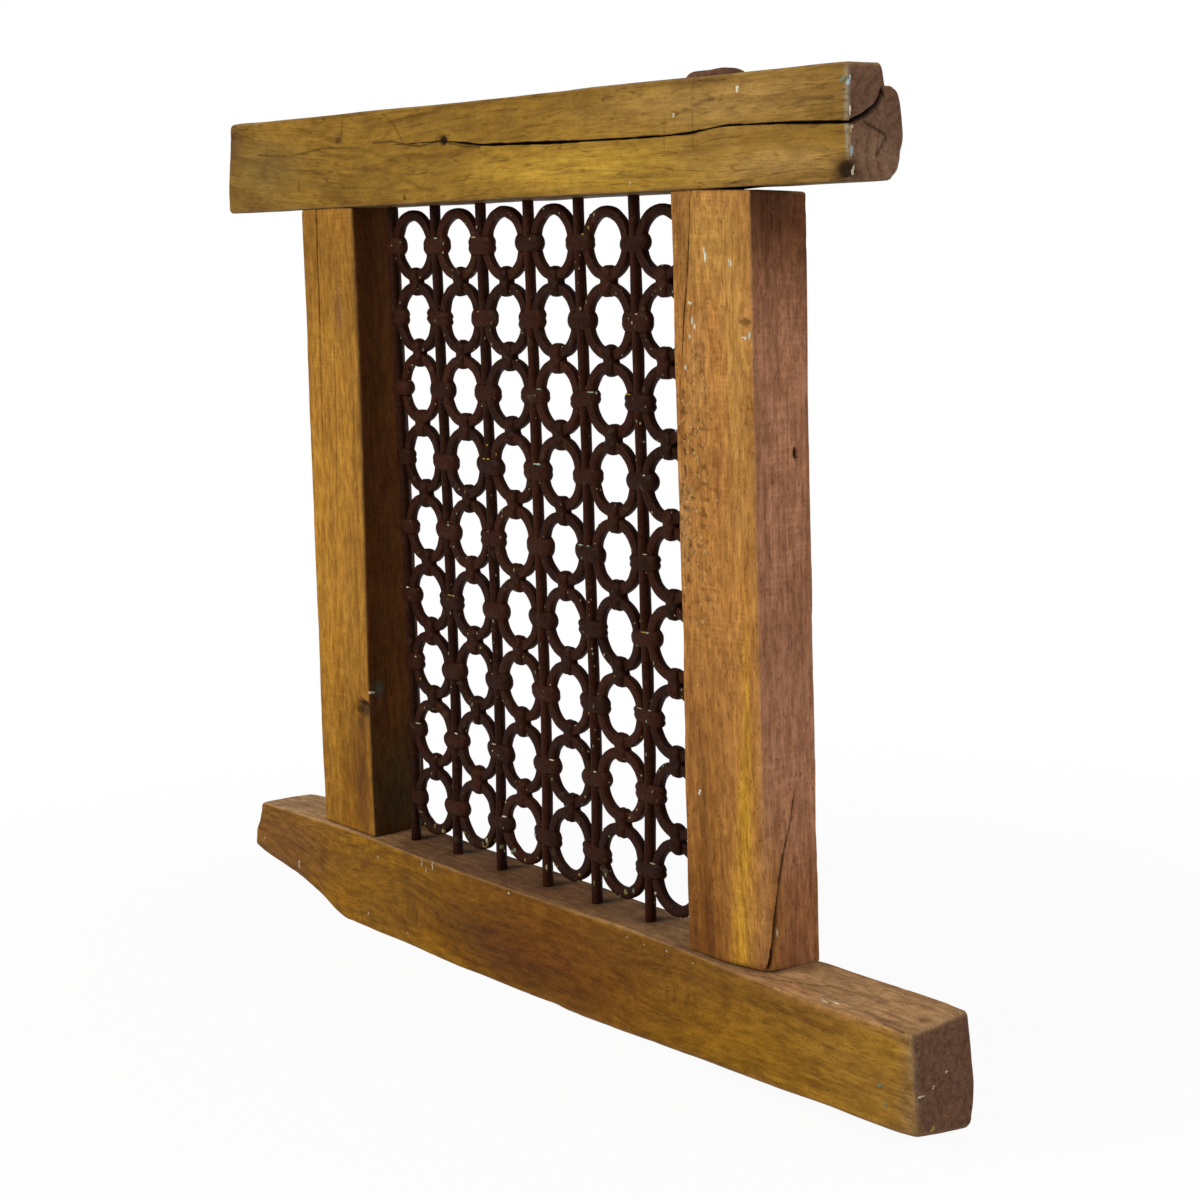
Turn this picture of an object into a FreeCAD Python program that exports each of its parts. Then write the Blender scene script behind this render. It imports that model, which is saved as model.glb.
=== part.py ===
# Jali window: four hewn timbers jointed into a frame round a wrought-iron grille of rings and upright bars.
# X runs along the sill, Y runs back through the frame and Z is up.
# The origin lies under the middle of the sill, halfway through the depth of the frame.

import FreeCAD, Part
import Sketcher
import math
import os

V = FreeCAD.Vector
same_height = 0.01
# A sketched curve counts its own points from one: start, end, centre.
_, curve_start, curve_end, curve_centre = range(4)
doc = FreeCAD.newDocument("jali_window")

# Driving sizes in millimetres, with the counts of rings.
driving_sizes = {
    "ring_outside": 59.6,        # outside diameter of a ring
    "ring_wide": 8,              # iron of the ring, measured along its radius
    "ring_deep": 9,              # iron of the ring, measured front to back
    "ring_round": 2.4,           # hammered corner of that section
    "ring_gap": 0.4,             # between a ring and the one above it
    "ring_rows": 9,
    "ring_columns": 6,
    "bar_across": 8,             # diameter of an upright bar
    "bar_gap": 0.3,              # between a bar and the ring beside it
    "socket_deep": 22,           # how far a bar enters sill and lintel
    "joint_clear": 0.3,          # all round a bar, a tenon or the irons in a collar
    "collar_thick": 3.4,         # crown of the half-round strip
    "bar_collar_tall": 12,       # strip width where it binds rings to a bar
    "ring_collar_wide": 10.5,    # strip width where it binds ring to ring
    "left_clear": 31,            # first bar to the left jamb
    "right_clear": 10.5,         # last bar to the right jamb
    "head_clear": 4.7,           # top ring to the lintel
    "foot_clear": 12.2,          # bottom ring to the sill
    "jamb_deep": 54,
    "jamb_setback": 8,           # jamb front behind the sill front
    "left_jamb_foot": 90,
    "left_jamb_head": 77,
    "right_jamb_foot": 83,
    "right_jamb_head": 88,
    "right_shoulder_drop": 4,    # the right shoulder falls away from the lintel
    "tenon_wide": 30,
    "tenon_thick": 18,
    "left_tenon_in": 22,         # opening side of the jamb to the tenon
    "right_tenon_in": 18,
    "tenon_proud": 6.5,          # worn end of the right tenon, standing above the lintel
    "tenon_round": 5,
    "sill_tenon_long": 56,
    "sill_tall": 84,
    "sill_deep": 59,
    "sill_left_horn": 128,
    "sill_right_horn": 169,
    "sill_left_lean": 18,        # each end leans in towards the top
    "sill_right_lean": 6,
    "sill_end_skew": 8,          # right end cut shorter at the back
    "horn_tip_rise": 41,         # hewn underside of the left horn
    "horn_knee_run": 133,
    "horn_knee_rise": 20,
    "horn_root_run": 168,
    "tail_run": 400,             # underside rising towards the right end
    "tail_rise": 11,
    "tail_round": 9,             # worn lower edge of the right end
    "lintel_deep": 45,
    "lintel_setback": 5,
    "lintel_tall_left": 79.5,
    "lintel_tall_right": 75.5,
    "lintel_left_horn": 131.5,
    "lintel_right_horn": 106.5,
    "lintel_left_lean": 15.5,
    "split_long": 150,           # sliver lost from the top back arris at the right end
    "split_deep": 15,
    "split_high": 17.5,
    "arris_round": 3,            # worn edges of the timbers
    "grille_setback": 36,        # sill front to the middle of the iron
}

# Places that follow from the driving sizes.
layout_formulas = {
    "bar_pitch": "sizes.ring_outside + sizes.bar_across + 2 * sizes.bar_gap",
    "ring_pitch": "sizes.ring_outside + sizes.ring_gap",
    "ring_inside": "sizes.ring_outside / 2 - sizes.ring_wide",
    "grille_wide": "sizes.ring_columns * bar_pitch",
    "sill_long": "sizes.sill_left_horn + sizes.left_jamb_foot + sizes.left_clear + grille_wide"
                 " + sizes.right_clear + sizes.right_jamb_foot + sizes.sill_right_horn",
    "sill_left": "-sill_long / 2",
    "sill_right": "sill_long / 2",
    "left_jamb_in": "sill_left + sizes.sill_left_horn + sizes.left_jamb_foot",
    "first_bar": "left_jamb_in + sizes.left_clear",
    "right_jamb_in": "first_bar + grille_wide + sizes.right_clear",
    "lintel_left": "left_jamb_in - sizes.left_jamb_head - sizes.lintel_left_horn",
    "lintel_right": "right_jamb_in + sizes.right_jamb_head + sizes.lintel_right_horn",
    "first_row": "sizes.sill_tall + sizes.foot_clear + sizes.ring_outside / 2",
    "rows_high": "(sizes.ring_rows - 1) * ring_pitch",
    "lintel_under": "first_row + rows_high + sizes.ring_outside / 2 + sizes.head_clear",
    "sill_front": "-(sizes.jamb_setback + sizes.jamb_deep) / 2",
    "sill_back": "sill_front + sizes.sill_deep",
    "jamb_front": "sill_front + sizes.jamb_setback",
    "jamb_back": "jamb_front + sizes.jamb_deep",
    "lintel_front": "sill_front + sizes.lintel_setback",
    "lintel_back": "lintel_front + sizes.lintel_deep",
    "lintel_mid": "lintel_front + sizes.lintel_deep / 2",
    "lintel_top_long": "lintel_right - lintel_left - sizes.lintel_left_lean",
    "lintel_top_slope": "(sizes.lintel_tall_left - sizes.lintel_tall_right) / lintel_top_long",
    "grille_mid": "sill_front + sizes.grille_setback",
    "left_tenon_x": "left_jamb_in - sizes.left_tenon_in - sizes.tenon_wide / 2",
    "right_tenon_x": "right_jamb_in + sizes.right_tenon_in + sizes.tenon_wide / 2",
    "tenon_foot": "sizes.sill_tall - sizes.sill_tenon_long",
    "flush_tenon_top": "lintel_under + sizes.lintel_tall_right"
                       " + lintel_top_slope * (lintel_right - left_tenon_x - sizes.tenon_wide / 2)",
    "proud_tenon_top": "lintel_under + sizes.lintel_tall_right + sizes.tenon_proud",
    "bar_foot": "sizes.sill_tall - sizes.socket_deep",
    "bar_long": "lintel_under - sizes.sill_tall + 2 * sizes.socket_deep",
    "bar_ring_reach": "sizes.bar_across / 2 + sizes.bar_gap + sizes.ring_wide + sizes.joint_clear"
                      " + ring_inside - sqrt(ring_inside ^ 2 - sizes.bar_collar_tall ^ 2 / 4)",
    "bar_side_reach": "sizes.bar_across / 2 + sizes.joint_clear",
    "ring_ring_reach": "sizes.ring_gap / 2 + sizes.ring_wide + sizes.joint_clear"
                       " + ring_inside - sqrt(ring_inside ^ 2 - sizes.ring_collar_wide ^ 2 / 4)",
    "collar_half_deep": "max(sizes.ring_deep; sizes.bar_across) / 2 + sizes.joint_clear",
    "collar_corner": "sizes.ring_round + sizes.joint_clear",
}


def make_sheet(name, cells, lead):
    sheet = doc.addObject("Spreadsheet::Sheet", name)
    for row, (alias, content) in enumerate(cells.items(), 1):
        sheet.set(f"A{row}", alias)
        sheet.set(f"B{row}", f"{lead}{content}")
        sheet.setAlias(f"B{row}", alias)
    doc.recompute()
    return sheet


sizes = make_sheet("sizes", driving_sizes, "")
layout = make_sheet("layout", layout_formulas, "=")


def make_body(label):
    body = doc.addObject("PartDesign::Body", label)
    body.Label = label
    return body


def origin_feature(body, role):
    return next(feature for feature in body.Origin.OriginFeatures if feature.Role == role)


def make_sketch(body, name, plane, offset):
    sketch = body.newObject("Sketcher::SketchObject", name)
    sketch.AttachmentSupport = (origin_feature(body, plane), [""])
    sketch.MapMode = "FlatFace"
    sketch.setExpression("AttachmentOffset.Base.z", offset)
    return sketch


def bind(sketch, constraint, expression):
    index = sketch.addConstraint(constraint)
    sketch.setExpression(f"Constraints[{index}]", expression)


def pin_point(sketch, line, end, place):
    # Holds one end of a line at a place given by two sheet expressions, either of which may be None.
    for kind, expression in zip(("DistanceX", "DistanceY"), place):
        if expression is not None:
            value = sketch.evalExpression(expression)
            bind(sketch, Sketcher.Constraint(kind, -1, 1, line, end, value), expression)


def draw_outline(sketch, places):
    # A closed outline of straight lines through places given as pairs of sheet expressions.
    corners = [V(*(float(sketch.evalExpression(item)) for item in place)) for place in places]
    count = len(corners)
    first = sketch.GeometryCount
    for index, corner in enumerate(corners):
        sketch.addGeometry(Part.LineSegment(corner, corners[(index + 1) % count]), False)
    for index, place in enumerate(places):
        following = first + (index + 1) % count
        line = first + index
        sketch.addConstraint(Sketcher.Constraint("Coincident", line, curve_end, following, curve_start))
        pin_point(sketch, line, curve_start, place)


def draw_rectangle(sketch, middle_x, middle_y, wide, deep):
    left, right = f"{middle_x} - ({wide}) / 2", f"{middle_x} + ({wide}) / 2"
    near, far = f"{middle_y} - ({deep}) / 2", f"{middle_y} + ({deep}) / 2"
    draw_outline(sketch, [(left, near), (right, near), (right, far), (left, far)])


def draw_rounded_box(sketch, left, right, low, high, corner):
    # Four straight sides joined by tangent quarter arcs of one radius, all from sheet expressions.
    expressions = (left, right, low, high, corner)
    x0, x1, y0, y1, radius = (float(sketch.evalExpression(item)) for item in expressions)
    sides = [
        (V(x0 + radius, y0), V(x1 - radius, y0), V(x1 - radius, y0 + radius)),
        (V(x1, y0 + radius), V(x1, y1 - radius), V(x1 - radius, y1 - radius)),
        (V(x1 - radius, y1), V(x0 + radius, y1), V(x0 + radius, y1 - radius)),
        (V(x0, y1 - radius), V(x0, y0 + radius), V(x0 + radius, y0 + radius)),
    ]
    quarter = math.pi / 2
    for turn, (start, end, centre) in enumerate(sides):
        sketch.addGeometry(Part.LineSegment(start, end), False)
        circle = Part.Circle(centre, V(0, 0, 1), radius)
        sketch.addGeometry(Part.ArcOfCircle(circle, (turn - 1) * quarter, turn * quarter), False)
    for index in range(8):
        sketch.addConstraint(Sketcher.Constraint("Tangent", index, curve_end, (index + 1) % 8, curve_start))
    bottom, right_side, top, left_side = 0, 2, 4, 6
    for line in (bottom, top):
        sketch.addConstraint(Sketcher.Constraint("Horizontal", line))
    for line in (right_side, left_side):
        sketch.addConstraint(Sketcher.Constraint("Vertical", line))
    for arc in (3, 5, 7):
        sketch.addConstraint(Sketcher.Constraint("Equal", 1, arc))
    bind(sketch, Sketcher.Constraint("Radius", 1, radius), corner)
    pin_point(sketch, bottom, curve_start, (None, low))
    pin_point(sketch, top, curve_start, (None, high))
    pin_point(sketch, right_side, curve_start, (right, None))
    pin_point(sketch, left_side, curve_start, (left, None))


def draw_half_round(sketch, seat, half_wide, thick, upright):
    # The strip of a collar: a straight seat closed by one crowned arc, bulging along X or along Y.
    base, half, crown = (float(sketch.evalExpression(item)) for item in (seat, half_wide, thick))
    ends = [V(base, -half), V(base + crown, 0), V(base, half)]
    seat_places = [(seat, f"-({half_wide})"), (seat, half_wide)]
    if not upright:
        ends = [V(-point.y, point.x) for point in ends]
        seat_places = [(half_wide, seat), (f"-({half_wide})", seat)]
    sketch.addGeometry(Part.LineSegment(ends[2], ends[0]), False)
    sketch.addGeometry(Part.Arc(*ends), False)
    sketch.addConstraint(Sketcher.Constraint("Coincident", 0, curve_end, 1, curve_start))
    sketch.addConstraint(Sketcher.Constraint("Coincident", 0, curve_start, 1, curve_end))
    pin_point(sketch, 0, curve_end, seat_places[0])
    pin_point(sketch, 0, curve_start, seat_places[1])
    radius = f"(({half_wide}) ^ 2 + ({thick}) ^ 2) / (2 * ({thick}))"
    bind(sketch, Sketcher.Constraint("Radius", 1, float(sketch.evalExpression(radius))), radius)


def add_pad(body, name, sketch, length):
    pad = body.newObject("PartDesign::Pad", name)
    pad.Profile = sketch
    pad.setExpression("Length", length)
    doc.recompute()
    return pad


def add_pocket(body, name, sketch, upward, depth=None):
    # Cuts through everything on one side of the sketch, or to a depth, and makes sure that it did cut.
    before = body.Shape.Volume
    pocket = body.newObject("PartDesign::Pocket", name)
    pocket.Profile = sketch
    pocket.Reversed = upward
    if depth is None:
        pocket.Type = "ThroughAll"
    else:
        pocket.setExpression("Length", depth)
    doc.recompute()
    assert body.Shape.Volume < before, f"{name} cuts nothing"
    return pocket


def add_row(body, name, feature, axis, length, count):
    row = body.newObject("PartDesign::LinearPattern", name)
    row.Originals = [feature]
    row.Direction = (origin_feature(body, axis), [""])
    row.setExpression("Length", length)
    row.setExpression("Occurrences", count)
    body.Tip = row
    doc.recompute()
    return row


def add_fillet(body, name, feature, radius, chosen):
    # Rounds the edges of a feature that the test picks out.
    names = [f"Edge{i}" for i, edge in enumerate(feature.Shape.Edges, 1) if chosen(edge)]
    fillet = body.newObject("PartDesign::Fillet", name)
    fillet.Base = (feature, names)
    fillet.setExpression("Radius", radius)
    doc.recompute()
    return fillet


def direction(edge):
    return edge.tangentAt(edge.FirstParameter)


def place(item, x=None, y=None, z=None):
    for axis, expression in zip("xyz", (x, y, z)):
        if expression is not None:
            item.setExpression(f"Placement.Base.{axis}", expression)


def cut_mortises(body, name, level, upward, depth=None):
    # One slot for each jamb tenon, larger all round by the clearance.
    sketch = make_sketch(body, f"{name}_plan", "XY_Plane", level)
    for middle in ("layout.left_tenon_x", "layout.right_tenon_x"):
        draw_rectangle(sketch, middle, "layout.lintel_mid",
                       "sizes.tenon_wide + 2 * sizes.joint_clear",
                       "sizes.tenon_thick + 2 * sizes.joint_clear")
    return add_pocket(body, name, sketch, upward, depth)


def cut_sockets(body, name, level, upward):
    # A row of round sockets, one for each bar.
    sketch = make_sketch(body, f"{name}_plan", "XY_Plane", level)
    radius = "sizes.bar_across / 2 + sizes.joint_clear"
    centre = V(sketch.evalExpression("layout.first_bar"), sketch.evalExpression("layout.grille_mid"))
    circle = Part.Circle(centre, V(0, 0, 1), sketch.evalExpression(radius))
    sketch.addGeometry(circle, False)
    pin_point(sketch, 0, curve_centre, ("layout.first_bar", "layout.grille_mid"))
    bind(sketch, Sketcher.Constraint("Radius", 0, circle.Radius), radius)
    socket = add_pocket(body, name, sketch, upward, "sizes.socket_deep")
    return add_row(body, f"{name}_row", socket, "X_Axis", "layout.grille_wide", "sizes.ring_columns + 1")


def make_sill():
    body = make_body("sill")
    outline = make_sketch(body, "sill_outline", "XZ_Plane", "-layout.sill_back")
    level_bed = "0"
    draw_outline(outline, [
        ("layout.sill_left", "sizes.horn_tip_rise"),
        ("layout.sill_left + sizes.horn_knee_run", "sizes.horn_knee_rise"),
        ("layout.sill_left + sizes.horn_root_run", level_bed),
        ("layout.sill_right - sizes.tail_run", level_bed),
        ("layout.sill_right", "sizes.tail_rise"),
        ("layout.sill_right - sizes.sill_right_lean", "sizes.sill_tall"),
        ("layout.sill_left + sizes.sill_left_lean", "sizes.sill_tall"),
    ])
    add_pad(body, "sill_timber", outline, "sizes.sill_deep")

    skew = make_sketch(body, "sill_skew_plan", "XY_Plane", "sizes.sill_tall")
    draw_outline(skew, [
        ("layout.sill_right", "layout.sill_front"),
        ("layout.sill_right", "layout.sill_back"),
        ("layout.sill_right - sizes.sill_end_skew", "layout.sill_back"),
    ])
    squared = add_pocket(body, "sill_skew", skew, False)

    bed = sizes.get("horn_tip_rise") / 2
    worn = add_fillet(body, "sill_arrises", squared, "sizes.arris_round",
                      lambda edge: min(vertex.Z for vertex in edge.Vertexes) > bed)
    tail = layout.get("sill_right") - sizes.get("tail_run") / 2
    add_fillet(body, "sill_tail_round", worn, "sizes.tail_round",
               lambda edge: edge.CenterOfMass.x > tail and max(vertex.Z for vertex in edge.Vertexes) < bed
               and abs(direction(edge).y) > 0.5)
    cut_mortises(body, "sill_mortises", "sizes.sill_tall", False,
                 "sizes.sill_tenon_long + sizes.joint_clear")
    cut_sockets(body, "sill_sockets", "sizes.sill_tall", False)
    return body


def make_lintel():
    body = make_body("lintel")
    outline = make_sketch(body, "lintel_outline", "XZ_Plane", "-layout.lintel_back")
    draw_outline(outline, [
        ("layout.lintel_left", "layout.lintel_under"),
        ("layout.lintel_right", "layout.lintel_under"),
        ("layout.lintel_right", "layout.lintel_under + sizes.lintel_tall_right"),
        ("layout.lintel_left + sizes.lintel_left_lean", "layout.lintel_under + sizes.lintel_tall_left"),
    ])
    timber = add_pad(body, "lintel_timber", outline, "sizes.lintel_deep")
    add_fillet(body, "lintel_arrises", timber, "sizes.arris_round", lambda edge: True)

    split = make_sketch(body, "lintel_split_plan", "XY_Plane",
                        "layout.lintel_under + sizes.lintel_tall_right - sizes.split_high")
    draw_outline(split, [
        ("layout.lintel_right", "layout.lintel_back"),
        ("layout.lintel_right - sizes.split_long", "layout.lintel_back"),
        ("layout.lintel_right", "layout.lintel_back - sizes.split_deep"),
    ])
    add_pocket(body, "lintel_split", split, True)
    cut_mortises(body, "lintel_mortises", "layout.lintel_under", True)
    cut_sockets(body, "lintel_sockets", "layout.lintel_under", True)
    return body


def make_jamb(side, sign, shoulder_drop, tenon_top, worn):
    # The opening side is upright and the outer side leans; one core makes the tenons at both ends.
    body = make_body(f"{side}_jamb")
    outline = make_sketch(body, f"{side}_jamb_outline", "XZ_Plane", "-layout.jamb_back")
    inner = f"layout.{side}_jamb_in"
    draw_outline(outline, [
        (inner, "sizes.sill_tall"),
        (f"{inner} {sign} sizes.{side}_jamb_foot", "sizes.sill_tall"),
        (f"{inner} {sign} sizes.{side}_jamb_head", f"layout.lintel_under - {shoulder_drop}"),
        (inner, "layout.lintel_under"),
    ])
    timber = add_pad(body, f"{side}_jamb_timber", outline, "sizes.jamb_deep")
    add_fillet(body, f"{side}_jamb_arrises", timber, "sizes.arris_round",
               lambda edge: abs(direction(edge).z) > 0.5)

    core = make_sketch(body, f"{side}_tenon_plan", "XY_Plane", "layout.tenon_foot")
    draw_rectangle(core, f"layout.{side}_tenon_x", "layout.lintel_mid",
                   "sizes.tenon_wide", "sizes.tenon_thick")
    tenon = add_pad(body, f"{side}_tenon", core, f"{tenon_top} - layout.tenon_foot")
    if worn:
        top = tenon.Shape.BoundBox.ZMax
        add_fillet(body, f"{side}_tenon_wear", tenon, "sizes.tenon_round",
                   lambda edge: abs(edge.CenterOfMass.z - top) < same_height)
    return body


def make_bar(number):
    bar = doc.addObject("Part::Cylinder", f"bar_{number}")
    bar.Label = f"bar_{number}"
    bar.setExpression("Radius", "sizes.bar_across / 2")
    bar.setExpression("Height", "layout.bar_long")
    place(bar, f"layout.first_bar + {number - 1} * layout.bar_pitch", "layout.grille_mid",
          "layout.bar_foot")
    return bar


def make_ring_column(number):
    # A squarish iron section turned about Y into one ring, then repeated up the column.
    body = make_body(f"ring_column_{number}")
    section = make_sketch(body, f"ring_section_{number}", "XY_Plane", "0")
    draw_rounded_box(section, "layout.ring_inside", "sizes.ring_outside / 2",
                     "-sizes.ring_deep / 2", "sizes.ring_deep / 2", "sizes.ring_round")
    ring = body.newObject("PartDesign::Revolution", f"ring_{number}")
    ring.Profile = section
    ring.ReferenceAxis = (section, ["V_Axis"])
    add_row(body, f"ring_stack_{number}", ring, "Z_Axis", "layout.rows_high", "sizes.ring_rows")
    place(body, f"layout.first_bar + {number - 0.5} * layout.bar_pitch", "layout.grille_mid",
          "layout.first_row")
    return body


def add_band(body, name, path, strip):
    band = body.newObject("PartDesign::AdditivePipe", name)
    band.Profile = strip
    band.Spine = (path, [f"Edge{i}" for i in range(1, 9)])
    doc.recompute()
    return band


def make_bar_collars(number, bars):
    # Half-round strip bent round a bar and the ring on each side of it.
    # An end bar has a ring on one side only.
    body = make_body(f"bar_collars_{number}")
    left = "layout.bar_side_reach" if number == 1 else "layout.bar_ring_reach"
    right = "layout.bar_side_reach" if number == bars else "layout.bar_ring_reach"
    path = make_sketch(body, f"bar_collar_path_{number}", "XY_Plane", "0")
    draw_rounded_box(path, f"-{left}", right, "-layout.collar_half_deep", "layout.collar_half_deep",
                     "layout.collar_corner")
    strip = make_sketch(body, f"bar_collar_strip_{number}", "XZ_Plane", "0")
    draw_half_round(strip, right, "sizes.bar_collar_tall / 2", "sizes.collar_thick", True)
    band = add_band(body, f"bar_collar_{number}", path, strip)
    add_row(body, f"bar_collar_row_{number}", band, "Z_Axis", "layout.rows_high", "sizes.ring_rows")
    place(body, f"layout.first_bar + {number - 1} * layout.bar_pitch", "layout.grille_mid",
          "layout.first_row")
    return body


def make_ring_collars(number):
    # The same strip bent round the foot of one ring and the head of the ring below it.
    body = make_body(f"ring_collars_{number}")
    path = make_sketch(body, f"ring_collar_path_{number}", "YZ_Plane", "0")
    draw_rounded_box(path, "-layout.collar_half_deep", "layout.collar_half_deep",
                     "-layout.ring_ring_reach", "layout.ring_ring_reach", "layout.collar_corner")
    strip = make_sketch(body, f"ring_collar_strip_{number}", "XZ_Plane", "0")
    draw_half_round(strip, "layout.ring_ring_reach", "sizes.ring_collar_wide / 2",
                    "sizes.collar_thick", False)
    band = add_band(body, f"ring_collar_{number}", path, strip)
    add_row(body, f"ring_collar_row_{number}", band, "Z_Axis",
            "layout.rows_high - layout.ring_pitch", "sizes.ring_rows - 1")
    place(body, f"layout.first_bar + {number - 0.5} * layout.bar_pitch", "layout.grille_mid",
          "layout.first_row + layout.ring_pitch / 2")
    return body


columns = int(sizes.get("ring_columns"))
bars = columns + 1

pieces = [make_sill(), make_lintel()]
pieces.append(make_jamb("left", "-", "0", "layout.flush_tenon_top", False))
pieces.append(make_jamb("right", "+", "sizes.right_shoulder_drop", "layout.proud_tenon_top", True))
pieces += [make_bar(number) for number in range(1, bars + 1)]
pieces += [make_ring_column(number) for number in range(1, columns + 1)]
pieces += [make_bar_collars(number, bars) for number in range(1, bars + 1)]
pieces += [make_ring_collars(number) for number in range(1, columns + 1)]
doc.recompute()

for item in doc.Objects:
    if "Invalid" in item.State or "Error" in item.State:
        raise RuntimeError(f"{item.Label} failed: {item.State}")
for piece in pieces:
    if piece.Shape.isNull() or not piece.Shape.isValid():
        raise RuntimeError(f"{piece.Label} has no valid shape")

os.makedirs("parts", exist_ok=True)
for piece in pieces:
    piece.Shape.exportStep(f"parts/{piece.Label}.step")
    box = piece.Shape.BoundBox
    print(f"{piece.Label}: {len(piece.Shape.Solids)} solids, {piece.Shape.Volume / 1000:.1f} cm3,"
          f" z {box.ZMin:.1f} to {box.ZMax:.1f}")
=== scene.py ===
import math

import bpy
import numpy as np
from mathutils import Matrix, Vector


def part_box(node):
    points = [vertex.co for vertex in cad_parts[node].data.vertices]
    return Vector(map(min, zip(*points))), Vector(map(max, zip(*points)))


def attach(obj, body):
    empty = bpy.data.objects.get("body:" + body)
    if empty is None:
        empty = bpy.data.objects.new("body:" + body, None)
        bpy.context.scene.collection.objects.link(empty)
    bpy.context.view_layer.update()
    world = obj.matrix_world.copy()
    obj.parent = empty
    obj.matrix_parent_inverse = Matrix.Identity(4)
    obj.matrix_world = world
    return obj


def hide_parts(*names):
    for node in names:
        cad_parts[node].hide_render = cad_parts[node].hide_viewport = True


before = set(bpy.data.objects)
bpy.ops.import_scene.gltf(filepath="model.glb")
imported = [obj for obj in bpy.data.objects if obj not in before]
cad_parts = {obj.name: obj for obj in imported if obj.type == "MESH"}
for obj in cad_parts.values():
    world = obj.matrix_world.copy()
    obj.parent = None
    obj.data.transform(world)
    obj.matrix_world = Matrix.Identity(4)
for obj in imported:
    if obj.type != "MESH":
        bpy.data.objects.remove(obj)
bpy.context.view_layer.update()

scene = bpy.context.scene
scene.view_settings.view_transform = "Standard"
print("frame loaded:", len(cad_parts), "nodes")

mm = 0.001
barNumbers, columnNumbers = range(1, 8), range(1, 7)


# Number helpers

latticeSize, latticeSeed = 32, 11
latticeTable = np.random.default_rng(latticeSeed).random((latticeSize,) * 3)


def latticeNoise(points, size, shift=0.0):
    # value noise from -1 to 1: seeded random knots of a lattice of cells in millimetres, blended smoothly
    # between the eight nearest
    cell = points / (np.asarray(size) * mm) + shift
    low = np.floor(cell).astype(int)
    part = cell - low
    part = part * part * (3 - 2 * part)
    total = np.zeros(points.shape[:-1])
    for corner in np.ndindex(2, 2, 2):
        weight = np.prod(np.where(corner, part, 1 - part), axis=-1)
        knot = (low + corner) % latticeSize
        total += weight * latticeTable[knot[..., 0], knot[..., 1], knot[..., 2]]
    return 2 * total - 1


def ease(value, start, end):
    # 0 before start, 1 after end, a smooth S between
    part = np.clip((value - start) / (end - start), 0, 1)
    return part * part * (3 - 2 * part)


def curveThrough(places, values, blur):
    # a function of one number: straight runs through the given values, rounded off over the blur length
    fine = np.linspace(places[0] - blur, places[-1] + blur, 1200)
    run = np.interp(fine, places, values)
    reach = max(int(blur / (fine[1] - fine[0])), 1)
    window = np.hanning(2 * reach + 3)
    padded = np.pad(run, reach + 1, mode="edge")
    soft = np.convolve(padded, window / window.sum(), mode="valid")
    return lambda place: np.interp(place, fine, soft)


def curveInMm(places, values, blur):
    # the same, all in millimetres
    return curveThrough(np.array(places) * mm, np.array(values) * mm, blur * mm)


def metres(**lengths):
    # named lengths given in millimetres
    return {name: np.array(length) * mm for name, length in lengths.items()}


def fullTurn(steps):
    # even angles round one turn
    return np.linspace(0, 2 * math.pi, steps, endpoint=False)


def boxOf(node):
    # lowest and highest corner of a node
    low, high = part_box(node)
    return np.array(low), np.array(high)


# Mesh helpers

def gridFaces(rows, columns, closedRows=False, flip=False):
    # quads of a grid whose rows are closed loops; the last row may join the first
    row = np.arange(rows if closedRows else rows - 1)[:, None]
    column = np.arange(columns)[None, :]
    nextRow = (row + 1) % rows
    nextColumn = (column + 1) % columns
    corners = [row * columns + column, nextRow * columns + column,
               nextRow * columns + nextColumn, row * columns + nextColumn]
    quads = np.stack(corners, axis=-1).reshape(-1, 4)
    return quads[:, ::-1] if flip else quads


def capFans(rows, columns, flip=False):
    # triangles from the first and last loops onto two poles, which follow the grid's own vertices
    column = np.arange(columns)
    nextColumn = (column + 1) % columns
    last = (rows - 1) * columns
    startPole = np.full(columns, rows * columns)
    fans = np.concatenate([np.stack([startPole, column, nextColumn], axis=-1),
                           np.stack([last + column, startPole + 1, last + nextColumn], axis=-1)])
    return fans[:, ::-1] if flip else fans


def closedShell(points, traits, flip=False):
    # a tube of loops closed at both ends: each pole is the mean of the loop beside it
    rows, columns = points.shape[:2]

    def withPoles(grid):
        ends = np.stack([grid[0].mean(axis=0), grid[-1].mean(axis=0)])
        return np.concatenate([grid.reshape(rows * columns, -1), ends])

    faces = gridFaces(rows, columns, flip=flip).tolist() + capFans(rows, columns, flip).tolist()
    return withPoles(points), faces, {name: withPoles(grid) for name, grid in traits.items()}


traitKinds = {"tone": ("FLOAT_COLOR", "color"), "grain": ("FLOAT_VECTOR", "vector"),
              "crack": ("FLOAT", "value"), "wear": ("FLOAT", "value")}


def makePiece(name, shells, material, nodes):
    # joins shells into one mesh object, carries their traits as vertex attributes, and rides it on the frame
    starts = np.cumsum([0] + [len(points) for points, _, _ in shells])
    points = np.concatenate([points for points, _, _ in shells])
    faces = [[start + corner for corner in face]
             for start, (_, shellFaces, _) in zip(starts, shells) for face in shellFaces]
    mesh = bpy.data.meshes.new(name)
    mesh.from_pydata(points.tolist(), [], faces)
    mesh.polygons.foreach_set("use_smooth", np.ones(len(faces), bool))
    for trait in shells[0][2]:
        values = np.concatenate([traits[trait] for _, _, traits in shells]).astype(np.float32)
        kind, field = traitKinds[trait]
        if field == "color":
            values = np.concatenate([values, np.ones((len(values), 1), np.float32)], axis=1)
        mesh.attributes.new(trait, kind, "POINT").data.foreach_set(field, values.ravel())
    mesh.materials.append(material)
    mesh.validate()
    mesh.update()
    piece = bpy.data.objects.new(name, mesh)
    scene.collection.objects.link(piece)
    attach(piece, "root")
    if nodes:
        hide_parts(*nodes)
    print("piece", name, "faces", len(faces))


# Shader helpers

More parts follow.
